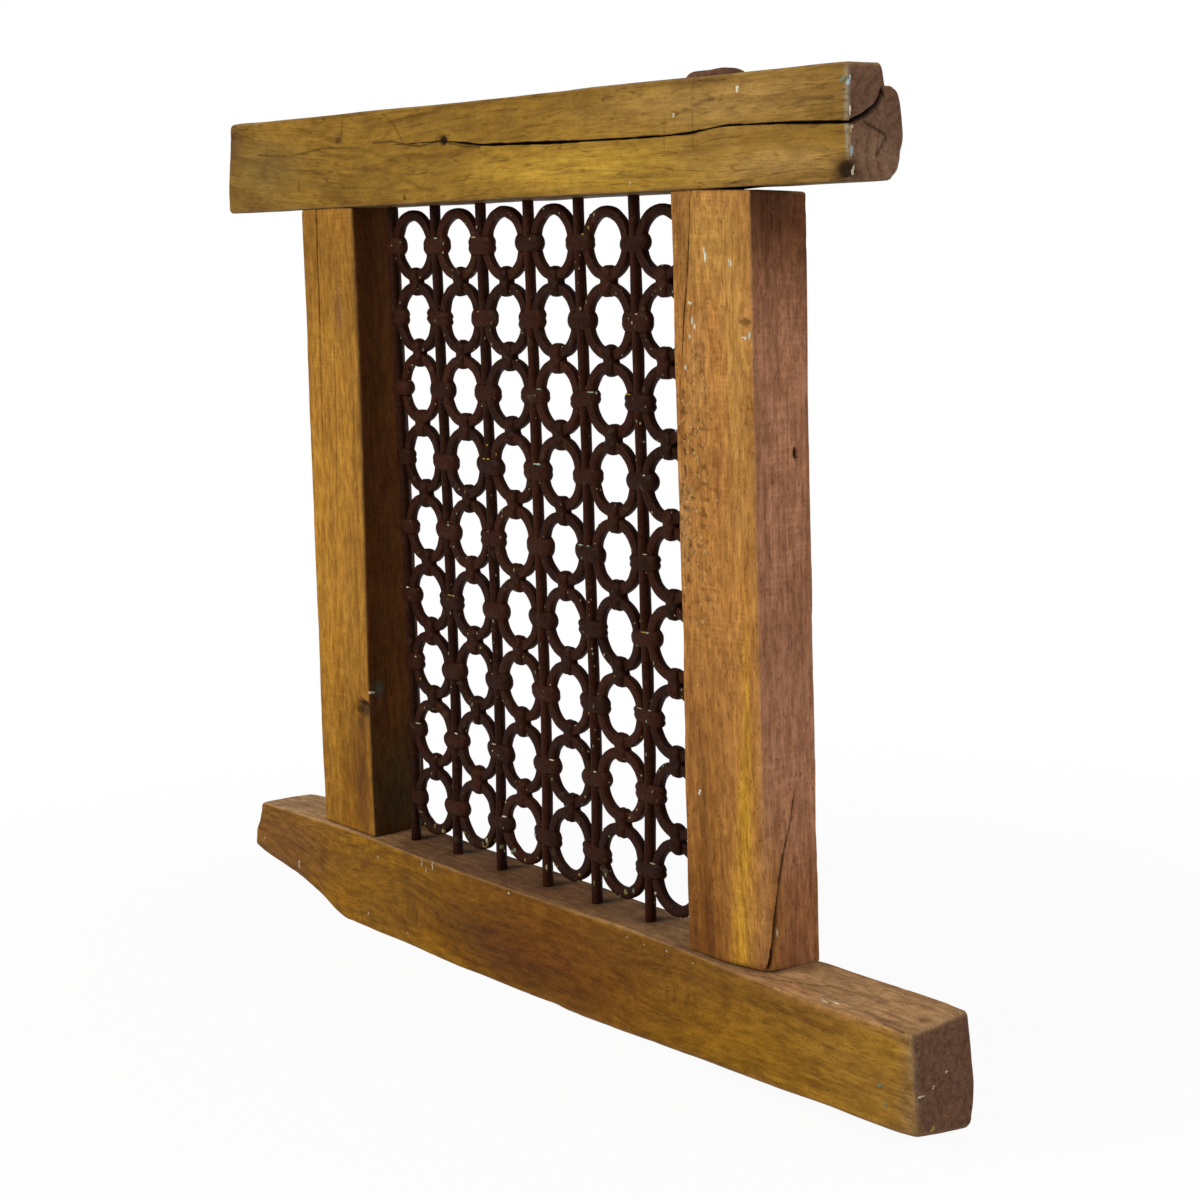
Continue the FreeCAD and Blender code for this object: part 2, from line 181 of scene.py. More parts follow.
def feed(tree, targets, values):
    # a socket is linked, a plain value is written on its target
    for key, value in values.items():
        if isinstance(value, bpy.types.NodeSocket):
            tree.links.new(value, targets[key])
        else:
            targets[key].default_value = value


def addNode(tree, kind, values, **settings):
    # a shader node with its settings made and its inputs fed; gives back its outputs
    node = tree.nodes.new("ShaderNode" + kind)
    for name, setting in settings.items():
        setattr(node, name, setting)
    feed(tree, node.inputs, values)
    return node.outputs


def blendColour(tree, kind, factor, first, second):
    # the second colour laid over the first by the factor
    return addNode(tree, "Mix", {0: factor, 6: first, 7: second}, data_type="RGBA", blend_type=kind)[2]


def calc(tree, operation, *values):
    # one step of arithmetic on sockets or plain values
    return addNode(tree, "Math", dict(enumerate(values)), operation=operation)[0]


def span(tree, value, low, high, toLow=0.0, toHigh=1.0):
    # a smooth step between two limits
    limits = dict(enumerate((value, low, high, toLow, toHigh)))
    return addNode(tree, "MapRange", limits, interpolation_type="SMOOTHSTEP")[0]


def stretch(tree, vector, factors):
    # each axis times a factor of its own
    return addNode(tree, "VectorMath", {0: vector, 1: factors}, operation="MULTIPLY")[0]


def lengthOf(tree, vector):
    # how long a vector is
    return addNode(tree, "VectorMath", {0: vector}, operation="LENGTH")["Value"]


def noiseOf(tree, vector, scale, detail=2.0, rough=0.5):
    # smooth noise about one half
    values = {"Vector": vector, "Scale": scale, "Detail": detail, "Roughness": rough}
    return addNode(tree, "TexNoise", values)[0]


def ramp(tree, value, stops):
    # a value turned into colours, blended between the stops
    node = tree.nodes.new("ShaderNodeValToRGB")
    feed(tree, node.inputs, {0: value})
    elements = node.color_ramp.elements
    while len(elements) < len(stops):
        elements.new(0.5)
    for element, (place, colour) in zip(elements, stops):
        element.position = place
        element.color = (*colour, 1)
    return node.outputs[0]


def attribute(tree, name, kind):
    # a trait that makePiece put on the mesh
    return addNode(tree, "Attribute", {}, attribute_name=name)[kind]


def newGroup(name, inputs, outputs):
    # an empty node group: its tree, what enters it and what leaves it
    tree = bpy.data.node_groups.new(name, "ShaderNodeTree")
    for direction, sockets in (("INPUT", inputs), ("OUTPUT", outputs)):
        for title, kind in sockets:
            tree.interface.new_socket(name=title, in_out=direction, socket_type="NodeSocket" + kind)
    return tree, tree.nodes.new("NodeGroupInput").outputs, tree.nodes.new("NodeGroupOutput").inputs


def newMaterial(name):
    # a material, its tree and the inputs of its shader
    material = bpy.data.materials.new(name)
    material.use_nodes = True
    tree = material.node_tree
    return material, tree, tree.nodes["Principled BSDF"].inputs


def bump(tree, height, strength, distance):
    # a normal tilted by the slope of the height
    return addNode(tree, "Bump", {"Strength": strength, "Distance": distance, "Height": height})[0]


# Old hardwood: growth rings, fibres, pores, blotches, specks, saw marks and hairlines

def grainGroup():
    # all of them are worked out in grain coordinates, of which the first runs along the fibre
    marks = ("rings", "fibre", "pores", "blotch", "lines", "mottle", "specks", "saw")
    tree, enter, leave = newGroup("oldHardwoodGrain",
                                  [("grain", "Vector"), ("ringGap", "Float"), ("waver", "Float")],
                                  [(mark, "Float") for mark in marks])

    def drawn(along, across, detail=2.0, rough=0.5):
        # noise with so many bumps a metre along and across the fibre
        return noiseOf(tree, stretch(tree, enter["grain"], (along, across, across)), 1.0, detail, rough)

    def product(first, second):
        return calc(tree, "MULTIPLY", first, second)

    # growth rings: the distance from the pith, wavered by a slow noise and counted in ring gaps
    away = lengthOf(tree, stretch(tree, enter["grain"], (0, 1, 1)))
    moved = calc(tree, "MULTIPLY_ADD", drawn(5, 22, 3.0, 0.55), enter["waver"], away)
    turns = calc(tree, "FRACT", calc(tree, "DIVIDE", moved, enter["ringGap"]))
    late = product(span(tree, turns, 0.45, 0.92), span(tree, turns, 0.95, 1.0, 1.0, 0.0))
    # hairlines: the contours of a noise drawn out along the fibre, broken up by another
    contour = calc(tree, "FRACT", product(drawn(6, 75, 3.0), 9.0))
    beside = calc(tree, "ABSOLUTE", calc(tree, "SUBTRACT", contour, 0.5))
    made = {
        "rings": product(late, span(tree, drawn(9, 60, 1.0), 0.35, 0.65)),
        "fibre": drawn(22, 400, 4.0, 0.68),
        "pores": span(tree, drawn(110, 1500, 1.0), 0.6, 0.74),
        "blotch": drawn(9, 30, 4.0, 0.6),
        "lines": product(span(tree, beside, 0.0, 0.14, 1.0, 0.0), span(tree, drawn(14, 160), 0.42, 0.62)),
        "mottle": drawn(70, 190, 3.0, 0.6),
        "specks": span(tree, drawn(330, 480, 3.0, 0.6), 0.56, 0.7),
        # saw marks run across the fibre, in some places only
        "saw": product(span(tree, drawn(420, 26, 2.0, 0.6), 0.46, 0.7),
                       span(tree, drawn(10, 28), 0.42, 0.62)),
    }
    feed(tree, leave, made)
    return tree


oldHardwoodGrain = grainGroup()
# where each noise is darkest and palest, and its plain middle
timberShades = {"blotch": (0.28, 0.72, [(0.5, (1, 1, 1))]), "fibre": (0.34, 0.66, [(0.5, (1, 1, 1))]),
                "mottle": (0.36, 0.64, [])}
# tint of each mark; growth rings have a colour of their own in each timber
timberMarks = {"lines": (0.32, 0.22, 0.15), "specks": (0.4, 0.3, 0.22), "rings": None,
               "pores": (0.36, 0.28, 0.2), "saw": (1.5, 1.55, 1.65)}
# worn arrises get a pale tint; cracks, checks and holes are painted near black, a painted shade in these
# recesses
wornTint, crackShadeTint = (0.34, 0.2, 0.09, 1), (0.012, 0.007, 0.004, 1)
timberSkin = {"blotchSpan": (0.3, 0.7), "smoother": 0.08, "rougher": 0.1, "crackRough": 0.2, "sheen": 0.05,
              "ringSink": -0.35, "poreSink": -0.5, "relief": 0.7 * mm}


def timberMaterial(name, look):
    # the vertex tone is the wood's own colour; blotches, fibres and mottle shade it, marks tint it by their
    # share, worn arrises go pale, and cracks, checks and holes are painted nearly black as painted shade
    material, tree, skin = newMaterial(name)
    colour = attribute(tree, "tone", "Color")
    crack, wear = (attribute(tree, trait, "Fac") for trait in ("crack", "wear"))
    wood = addNode(tree, "Group", {"grain": attribute(tree, "grain", "Vector"), "ringGap": look["ringGap"],
                                   "waver": look["waver"]}, node_tree=oldHardwoodGrain)
    for shade, (low, high, middle) in timberShades.items():
        dark, pale = look[shade]
        stops = [(low, dark), *middle, (high, pale)]
        colour = blendColour(tree, "MULTIPLY", 1.0, colour, ramp(tree, wood[shade], stops))
    for mark, tint in timberMarks.items():
        share = calc(tree, "MULTIPLY", wood[mark], look[mark])
        colour = blendColour(tree, "MULTIPLY", share, colour, (*(tint or look["ringColour"]), 1))
    colour = blendColour(tree, "SCREEN", calc(tree, "MULTIPLY", wear, look["wear"]), colour, wornTint)
    # painted shade: cracks, checks and holes go nearly black
    colour = blendColour(tree, "MIX", crack, colour, crackShadeTint)
    rough = span(tree, wood["blotch"], *timberSkin["blotchSpan"], look["rough"] - timberSkin["smoother"],
                 look["rough"] + timberSkin["rougher"])
    rough = calc(tree, "MULTIPLY_ADD", crack, timberSkin["crackRough"], rough)
    height = calc(tree, "MULTIPLY_ADD", wood["rings"], timberSkin["ringSink"], wood["fibre"])
    height = calc(tree, "MULTIPLY_ADD", wood["pores"], timberSkin["poreSink"], height)
    feed(tree, skin, {"Base Color": colour, "Roughness": rough, "Specular IOR Level": timberSkin["sheen"],
                      "Normal": bump(tree, height, look["bump"], timberSkin["relief"])})
    return material


# Hewn timbers: a rounded box of loops carried along the fibre, closed by end faces that shrink onto a pole

sideOrder = ("front", "high", "back", "low")
# how every timber is hewn: spacing of its loops, arrises, nicks, cracks and tones; lengths in millimetres
hewing = {
    "fineSteps": 2001, "cornerPull": 2.5, "cornerReach": 4, "linePull": 5, "lineReach": 3, "brim": 12,
    "brimLoops": 15, "poleGap": 0.03, "faceRim": 0.8, "faceLoops": 26, "rimLoops": 12,
    "arrisCell": (45, 25, 25), "arrisSlant": 0.29, "nickCell": (14, 9, 9), "nickFrom": 0.25,
    "crackFacing": (0.3, 0.8), "crackCell": (9, 40, 40), "crackRagged": 0.35, "crackFine": 0.02,
    "crackFades": (0.05, 0.25), "crackFull": 1.2, "crackShallow": 0.15, "crackRound": 0.7, "crackDark": 0.35,
    "endDark": 0.4, "fineFacing": (0.5, 0.9), "hairDeep": 0.5, "holeDark": (0.25, 0.8), "sideSharp": 3,
    "driftCell": (120, 30, 30), "driftShare": 0.5, "knotPart": 0.85,
}


def sidePlaces(length, count, dense):
    # fractions along one side of a loop, closer together at its corners and at the lines listed in dense
    fine = np.linspace(0, 1, hewing["fineSteps"])
    fromCorner = np.minimum(fine, 1 - fine) * length / (hewing["cornerReach"] * mm)
    weight = 1 + hewing["cornerPull"] * np.exp(-fromCorner ** 2)
    for place in dense:
        fromLine = (fine - place) * length / (hewing["lineReach"] * mm)
        weight += hewing["linePull"] * np.exp(-fromLine ** 2)
    grown = np.concatenate([[0], np.cumsum((weight[1:] + weight[:-1]) / 2)])
    return np.interp(np.arange(count) / count, grown / grown[-1], fine)


def followLines(places, lines, stations):
    # shifts each loop's fractions so that the dense lines run along their own paths
    knots = [0.0] + [line["rest"] for line in lines] + [1.0]
    goals = [np.zeros(len(stations))] + [line["path"](stations) for line in lines] + [np.ones(len(stations))]
    moved = np.zeros((len(stations), len(places)))
    for low, high, goalLow, goalHigh in zip(knots, knots[1:], goals, goals[1:]):
        part = (places - low) / (high - low)
        here = goalLow[:, None] + part * (goalHigh - goalLow)[:, None]
        moved = np.where((places >= low) & (places <= high), here, moved)
    return moved


def loopOutline(cut, size, stations):
    # unit depth and rise of every point of every loop, side after side
    depths, rises = [], []
    for side, count, length in zip(sideOrder, cut["around"], (size[2], size[1], size[2], size[1])):
        lines = sorted((line for line in cut["lines"] if line["side"] == side), key=lambda line: line["rest"])
        part = followLines(sidePlaces(length, count, [line["rest"] for line in lines]), lines, stations)
        still = np.zeros_like(part)
        depth, rise = {"front": (still, part), "high": (part, still + 1),
                       "back": (still + 1, 1 - part), "low": (1 - part, still)}[side]
        depths.append(depth)
        rises.append(rise)
    return np.stack([np.concatenate(depths, axis=1), np.concatenate(rises, axis=1)], axis=-1)


def hewnTimber(cut):
    # loops stand closer together near both ends, and each end face shrinks from its loop onto the pole
    low, high = np.array(cut["low"]), np.array(cut["high"])
    size = high - low
    brim, brimLoops, rim = hewing["brim"] * mm, hewing["brimLoops"], hewing["faceRim"]
    stations = np.concatenate([np.linspace(low[0], low[0] + brim, brimLoops)[:-1],
                               np.linspace(low[0] + brim, high[0] - brim, cut["loops"]),
                               np.linspace(high[0] - brim, high[0], brimLoops)[1:]])
    outline = loopOutline(cut, size, stations)
    shrink = np.concatenate([np.linspace(hewing["poleGap"], rim, hewing["faceLoops"])[:-1],
                             np.linspace(rim, 1, hewing["rimLoops"])[:-1]])[:, None, None]
    startPole, endPole = np.array(cut["startPole"]), np.array(cut["endPole"])
    startFace = startPole + shrink * (outline[:1] - startPole)
    endFace = (endPole + shrink * (outline[-1:] - endPole))[::-1]
    unit = np.concatenate([startFace, outline, endFace])
    along = np.concatenate([np.full(len(shrink), low[0]), stations, np.full(len(shrink), high[0])])
    flat = np.concatenate([np.broadcast_to(along[:, None, None], unit.shape[:2] + (1,)),
                           low[1:] + unit * size[1:]], axis=-1)

    # rounded arrises: step in to the core box by the local radius, then out again along the straight way
    seed = cut["seed"]
    waver = cut["arrisWaver"] * latticeNoise(flat, hewing["arrisCell"], seed)
    radius = cut["arris"] * mm * (1 + waver)[..., None]
    for centre, reach, extra in cut["worn"]:
        radius = radius + extra * mm * np.exp(-farness(flat, centre, reach))[..., None]
    core = np.clip(flat, low + radius, high - radius)
    outward = flat - core
    outward /= np.linalg.norm(outward, axis=-1, keepdims=True)
    points = core + radius * outward

    # hewn surface: long shallow waves, shorter tool waves and fine fibre ridges, with nicked arrises
    waves = sum(depth * mm * latticeNoise(points, reach, seed + number)
                for number, (depth, reach) in enumerate(cut["waves"]))
    wear = np.clip((1 - np.abs(outward).max(axis=-1)) / hewing["arrisSlant"], 0, 1)
    nicks = np.clip(latticeNoise(points, hewing["nickCell"], seed + 9) - hewing["nickFrom"], 0, 1)
    lift = waves - cut["nick"] * mm * wear * nicks

    # the crack trait marks cracks, checks and holes, which the material paints nearly black as painted shade
    crack = np.zeros(lift.shape)
    for line in cut["lines"]:
        lift, crack = openCrack(cut, line, points, outward, low, size, lift, crack)
    for pit in cut["pits"]:
        lift, crack = pit(points, outward, lift, crack)
    points = points + lift[..., None] * outward
    placed = cut["form"](points, (points - low) / size)
    if cut["axis"] == "z":
        placed = placed[..., ::-1]
    traits = {"tone": timberTone(cut, placed, outward, points), "crack": crack[..., None],
              "wear": wear[..., None], "grain": grainCoordinates(cut, points)}
    return closedShell(placed, traits, flip=cut["axis"] == "z")


def farness(points, centre, reach):
    # squared distance from a centre in shares of the reach, both in millimetres
    return (((points / mm - np.array(centre)) / np.array(reach)) ** 2).sum(axis=-1)


def crackLine(side, rest, deep, blur, places, shares, openPlaces, openWidths):
    # a crack along one side: its way in shares of the side's width, its depth and openings in millimetres
    return {"side": side, "rest": rest, "deep": deep * mm,
            "path": curveThrough(np.array(places) * mm, shares, blur * mm),
            "open": (np.array(openPlaces) * mm, np.array(openWidths) * mm)}


def openCrack(cut, line, points, outward, low, size, lift, crack):
    # a groove on the line's own side: deepest on its path, closed at its rim, fading out past both ends
    if "open" not in line:
        return lift, crack
    unit = (points - low) / size
    across, direction, reach = {"front": (unit[..., 2], -outward[..., 1], size[2]),
                                "high": (unit[..., 1], outward[..., 2], size[1])}[line["side"]]
    along = points[..., 0]
    half = np.interp(along, *line["open"]) / 2
    ragged = 1 + hewing["crackRagged"] * latticeNoise(points, hewing["crackCell"], cut["seed"] + 4)
    gap = np.abs(across - line["path"](along)) * reach / np.maximum(half * ragged, hewing["crackFine"] * mm)
    inside = np.clip(1 - gap, 0, 1) * ease(direction, *hewing["crackFacing"])
    inside = inside * ease(half, *(fade * mm for fade in hewing["crackFades"]))
    deep = np.clip(half / (hewing["crackFull"] * mm), hewing["crackShallow"], 1)
    lift = lift - line["deep"] * inside ** hewing["crackRound"] * deep
    return lift, np.maximum(crack, ease(inside, 0.0, hewing["crackDark"]))


def timberTone(cut, placed, outward, points):
    # each side has its own tone, blended round the arrises; stains and painted shade then pull it towards
    # their colour. A stain of two places and two reaches lies on the front, by x and z; the others may be
    # kept to one side
    weights = {"start": -outward[..., 0], "end": outward[..., 0], "front": -outward[..., 1],
               "back": outward[..., 1], "low": -outward[..., 2], "high": outward[..., 2]}
    shared = {side: np.clip(weight, 0, 1) ** hewing["sideSharp"] for side, weight in weights.items()}
    total = sum(shared.values())
    tone = sum(shared[side][..., None] * np.array(cut["tones"][side]) for side in shared) / total[..., None]
    drift = hewing["driftShare"] * latticeNoise(points, hewing["driftCell"], cut["seed"] + 6)
    for centre, reach, colour, amount, *sides in cut["stainsAndShade"]:
        if len(centre) == 2:
            centre, reach, sides = (centre[0], cut["front"], centre[1]), (reach[0], 100, reach[1]), ["front"]
        part = amount * np.exp(-farness(placed, centre, reach) * (1 + drift))
        for side in sides:
            part = part * shared[side] / total
        tone = tone + np.clip(part, 0, 1)[..., None] * (np.array(colour) - tone)
    return tone


def grainCoordinates(cut, points):
    # distance from the pith, with the fibre swept up and down along the timber and parted round each knot
    along, depth, rise = np.moveaxis(points, -1, 0)
    swept = rise - cut["pith"][1] * mm + cut["sweep"](along)
    for place, height, longReach, crossReach in cut["knots"]:
        away = rise / mm - height
        far = ((along / mm - place) / longReach) ** 2 + (away / crossReach) ** 2
        swept = swept - hewing["knotPart"] * away * mm * np.exp(-far)
    return np.stack([along, depth - cut["pith"][0] * mm, swept], axis=-1)


def dent(centre, reach, deep, dark=0.0):
    # a hollow in the surface, in millimetres: deepest at its centre, gone at its reach; dark marks a hole
    def press(points, outward, lift, crack):
        hollow = np.exp(-farness(points, centre, reach) ** 2)
        return lift - deep * mm * hollow, np.maximum(crack, dark * ease(hollow, *hewing["holeDark"]))
    return press


def distanceToPath(first, second, path):
    # shortest way from points of a plane to a run of straight pieces
    best = np.full(first.shape, np.inf)
    for start, end in zip(path, path[1:]):
        run = end - start
        part = np.clip(((first - start[0]) * run[0] + (second - start[1]) * run[1]) / (run @ run), 0, 1)
        best = np.minimum(best, np.hypot(first - start[0] - part * run[0], second - start[1] - part * run[1]))
    return best


def hairline(side, path, wide, dark):
    # a fine check in the front or the top, along a path in millimetres of length and of height or depth
    path = np.array(path) * mm

    def scratch(points, outward, lift, crack):
        second, facing = {"front": (points[..., 2], -outward[..., 1]),
                          "high": (points[..., 1], outward[..., 2])}[side]
        inside = np.clip(1 - distanceToPath(points[..., 0], second, path) / (wide * mm), 0, 1)
        inside = inside * ease(facing, *hewing["fineFacing"])
        return lift - hewing["hairDeep"] * mm * inside, np.maximum(crack, dark * inside)
    return scratch


sillLow, sillHigh = boxOf("sill")
lintelLow, lintelHigh = boxOf("lintel")
# settings that the timbers share; the lengths and places of all their settings are in millimetres
hewnCut = {"axis": "x", "startPole": (0.5, 0.5), "endPole": (0.5, 0.5), "arrisWaver": 0.45, "lines": []}


# Sill: left horn hewn to a taper underneath, right tail rising a little, ends leaning in

sillCut = metres(hornRuns=[0, 60, 92, 115, 133, 150, 168], hornRises=[38.6, 29.3, 23.2, 17.6, 12.2, 4.8, 0],
                 tailRun=400, tailRise=11, tailTilt=7, tailFront=0.5, leftLean=18, rightLean=5, endSkew=3,
                 endSwell=3, endRun=90)
sillCut["under"] = curveThrough(
    [*(sillLow[0] + sillCut["hornRuns"]), sillHigh[0] - sillCut["tailRun"], sillHigh[0]],
    [*sillCut["hornRises"], 0, sillCut["tailRise"]], 10 * mm)
sillCut.update({"swellSpan": (0.75, 0.25), "topCurve": 1.5})
sillCut["backRise"] = curveInMm([-310, -250, 220, 275, 310, 460], [0, 2.6, 2.6, 1, 3.4, 4.4], 15)
sillCut["frontWander"] = curveThrough(
    np.linspace(sillLow[0], sillHigh[0], 12),
    np.array([-2.8, 1.4, 5.6, 3.5, 1.4, 2.8, 4.2, 6.3, 4.9, -1.4, -1.4, 0]) * mm, 40 * mm)


def sillForm(points, unit):
    # underside profile scales the height and tilts back at the right end; the ends lean in with height, and
    # the right one with depth; the back of the top stands a little higher between the jambs
    along, depth, rise = np.moveaxis(points, -1, 0)
    _, back, up = np.moveaxis(unit, -1, 0)
    left = ease(along, sillLow[0] + sillCut["endRun"], sillLow[0])
    right = ease(along, sillHigh[0] - sillCut["endRun"], sillHigh[0])
    under = sillCut["under"](along) + right * (sillCut["tailFront"] - sillCut["tailTilt"] * back)
    along = along + left * sillCut["leftLean"] * up
    along = along - right * (sillCut["rightLean"] * up + sillCut["endSkew"] * back)
    along = along - left * sillCut["endSwell"] * ease(up, *sillCut["swellSpan"])
    rise = under + up * (sillHigh[2] - under)
    rise = rise + sillCut["backRise"](along) * np.clip(back, 0, 1) ** sillCut["topCurve"] * up
    front = (1 - back) * np.clip(up, 0, 1) ** sillCut["topCurve"]
    depth = depth + front * sillCut["frontWander"](along)
    return np.stack([along, depth, rise], axis=-1)


def barFootShade(number):
    # painted shade round a bar's foot, where it stands in the sill
    low, high = boxOf(f"bar_{number}")
    reach, colour, amount = (11, 11, 12), (0.03, 0.016, 0.01), 0.8
    return (*((low + high) / 2)[:2] / mm, sillHigh[2] / mm), reach, colour, amount


sillCut.update({
    **hewnCut, "low": sillLow, "high": sillHigh, "loops": 500, "around": (42, 34, 34, 26), "seed": 3.1,
    "front": -30, "arris": 2.8, "nick": 1.8, "form": sillForm, "pith": (50, 30),
    "waves": [(0.8, (110, 40, 34)), (0.3, (34, 12, 12)), (0.12, (40, 2.6, 2.6))],
    "worn": [((460, 0, 4), (16, 60, 20), 5.5), ((300, -31, 0), (350, 20, 20), 4),
             ((460, 0, 84), (12, 60, 30), 2.5), ((-460, 0, 60), (14, 60, 60), 2.5),
             ((-460, -20, 0), (16, 40, 24), 5), ((-460, 28, 84), (40, 16, 24), 10)],
    "sweep": curveInMm([-460, -300, -200, -80, 20, 160, 300, 460], [0, 5, -3, 4, -2, 4, -3, 1], 60),
    "knots": [(-175, 30, 40, 22), (200, 50, 50, 20)],
    "pits": [dent((352, -27, 86), (30, 5, 9), 2.2), dent((455, -30, 36), (5, 5, 12), 2),
             hairline("high", [(286, -24), (310, -17.5), (336, -9), (345, -3)], 1.4, 0.7),
             hairline("high", [(430, -27), (452, -29)], 1.2, 0.7)],
    "tones": {"front": (0.272, 0.133, 0.0088), "high": (0.42, 0.243, 0.113), "back": (0.17, 0.08, 0.022),
              "low": (0.12, 0.06, 0.02), "start": (0.2, 0.1, 0.035), "end": (0.134, 0.0667, 0.04)},
    "stainsAndShade": [
        ((-400, 50), (120, 60), (0.172, 0.075, 0.0255), 0.8),
        ((20, 40), (200, 60), (0.1, 0.0275, 0.006), 0.86),
        ((200, 68), (150, 26), (0.178, 0.073, 0.013), 0.6),
        ((435, 40), (100, 60), (0.325, 0.17, 0.026), 0.9),
        ((-250, 40), (80, 60), (0.185, 0.078, 0.005), 0.5),
        ((318, -21, 84), (26, 6, 10), (0.5, 0.23, 0.1), 0.7),
        ((380, -31, 84), (70, 4, 4), (0.46, 0.24, 0.1), 0.6),
        ((393, -2, 84), (8, 3, 10), (0.2, 0.09, 0.05), 0.7, "high"),
        ((440, -6, 84), (5, 3, 10), (0.16, 0.06, 0.03), 0.7, "high"),
        ((425, -24, 84), (10, 2, 10), (0.2, 0.09, 0.05), 0.7, "high"),
        ((-330, 50), (7, 24), (0.09, 0.036, 0.005), 0.5),
        ((-183, 56), (9, 24), (0.08, 0.03, 0.004), 0.4),
        ((-120, 30), (16, 18), (0.09, 0.032, 0.004), 0.25),
        ((-400, 0, 90), (90, 50, 12), (0.53, 0.342, 0.182), 0.8, "high"),
        # painted shade on the top between the jambs, under the grille and the lintel, deepest towards the
        # left jamb
        ((-20, 0, 88), (200, 50, 8), (0.072, 0.022, 0.0095), 0.9, "high"),
        ((-190, 0, 88), (50, 50, 8), (0.045, 0.015, 0.007), 0.7, "high"),
        ((230, 0, 90), (60, 50, 10), (0.2, 0.11, 0.055), 0.6, "high"),
        ((460, -31, 50), (12, 4, 50), (0.4, 0.3, 0.2), 0.35)] + [barFootShade(bar) for bar in barNumbers],
})
sillTimber = timberMaterial("sillTimber", {
    "ringGap": 7 * mm, "waver": 0.018, "ringColour": (0.5, 0.4, 0.3),
    "blotch": ((0.78, 0.73, 0.68), (1.18, 1.16, 1.1)), "fibre": ((0.8, 0.76, 0.71), (1.16, 1.16, 1.14)),
    "mottle": ((0.8, 0.76, 0.72), (1.2, 1.2, 1.18)),
    "lines": 0.25, "specks": 0.6, "rings": 0.34, "pores": 0.5, "saw": 0.15,
    "wear": 0.22, "rough": 0.62, "bump": 0.4,
})
makePiece("hewnSill", [hewnTimber(sillCut)], sillTimber, ["sill"])


# Lintel: top falling to the right, left end leaning in, a long split and a sliver lost at the right end

lintelCut = {**metres(fall=4, leftLean=11, leftRun=70, rightRun=50, sliverLong=150, sliverStart=25,
                      sliverDeep=15, sliverHigh=14.5, leftSwell=2.5, rightSwell=2, endFlare=3),
             "sliverRoot": 0.28, "sliverEdge": 0.985, "stepFrom": -0.02, "stepTo": 0.05, "swellUp": 0.35,
             "swellReach": 0.25, "backHang": curveInMm([-310, -250, 210, 270], [0, 2.2, 2.2, 0], 15)}


def sliverPart(along):
    # where the sliver's step stands across the top, as a fraction of the depth
    grown = np.clip((along - lintelHigh[0] + lintelCut["sliverLong"]) / lintelCut["sliverLong"], 0, 1)
    return lintelCut["sliverEdge"] - grown * lintelCut["sliverDeep"] / (lintelHigh[1] - lintelLow[1])


def lintelForm(points, unit):
    # height shrinks towards the right, the left end leans in, the back top corner drops past the sliver's
    # step, the ends swell a little and the back of the underside hangs lower between the jambs
    along, depth, rise = np.moveaxis(points, -1, 0)
    _, back, up = np.moveaxis(unit, -1, 0)
    long, tall = (lintelHigh - lintelLow)[[0, 2]]
    left = ease(along, lintelLow[0] + lintelCut["leftRun"], lintelLow[0])
    right = ease(along, lintelHigh[0] - lintelCut["rightRun"], lintelHigh[0])
    rise = lintelLow[2] + up * (tall - lintelCut["fall"] * (along - lintelLow[0]) / long)
    rise = rise - lintelCut["backHang"](along) * back * (1 - up)
    step = sliverPart(along)
    sliverFrom = lintelHigh[0] - lintelCut["sliverLong"]
    started = ease(along, sliverFrom, sliverFrom + lintelCut["sliverStart"])
    dropped = ease(back, step + lintelCut["stepFrom"], step + lintelCut["stepTo"]) * started
    above = np.clip((up - lintelCut["sliverRoot"]) / (1 - lintelCut["sliverRoot"]), 0, 1)
    rise = rise - lintelCut["sliverHigh"] * dropped * above
    swell = lintelCut["leftSwell"] * np.sin(math.pi * up)
    along = along + left * (lintelCut["leftLean"] * up - swell)
    fromSwell = (up - lintelCut["swellUp"]) / lintelCut["swellReach"]
    along = along + right * lintelCut["rightSwell"] * np.exp(-fromSwell ** 2)
    depth = depth + right * lintelCut["endFlare"] * np.clip(back, 0, 1)
    return np.stack([along, depth, rise], axis=-1)


# way of each hairline, its half width and its darkness
lintelChecks = [
    ([(-187, 693), (-157, 693), (-133, 689), (-111, 687), (-83, 690)], 1.3, 0.8),
    ([(-72, 688), (-47, 684), (-24, 683)], 1.3, 0.8),
    ([(-387, 691), (-331, 687), (-274, 692), (-212, 690)], 1.6, 0.5),
    ([(-212, 690), (-165, 680), (-125, 667)], 2.8, 0.3),
    ([(-221, 674), (-179, 670), (-142, 662), (-120, 654), (-91, 649.5)], 2.8, 0.32),
    ([(-296, 661), (-244, 658), (-194, 655.5), (-133, 651)], 2.2, 0.42),
    ([(-168, 716), (-152, 706), (-138, 690)], 2, 0.55),
    ([(-26, 678), (6, 671), (50, 664), (83, 660), (152, 652), (213, 652)], 2.6, 0.32),
    ([(-235, 716), (-241, 697)], 2, 0.5), ([(-316, 666), (-317, 657)], 2, 0.5),
    ([(245, 722), (244, 692), (243, 668)], 1.4, 0.3), ([(212, 692), (211, 671)], 1.5, 0.4),
    ([(222, 694), (246, 700), (268, 704)], 1.5, 0.6), ([(354, 697), (389, 697)], 1.6, 0.6),
    ([(251, 717), (281, 716)], 1.2, 0.6), ([(275, 643), (306, 644)], 1.3, 0.5),
]
# way across the right end, half width, depth and darkness of the split and of a fine check
endCracks = [([(-26, 677.5), (-15, 681.5), (-4, 688), (0, 693), (2.6, 699)], 1.9, 9, 1.0),
             ([(-14, 678), (3.8, 669), (-3.5, 657)], 1.1, 1, 0.7)]


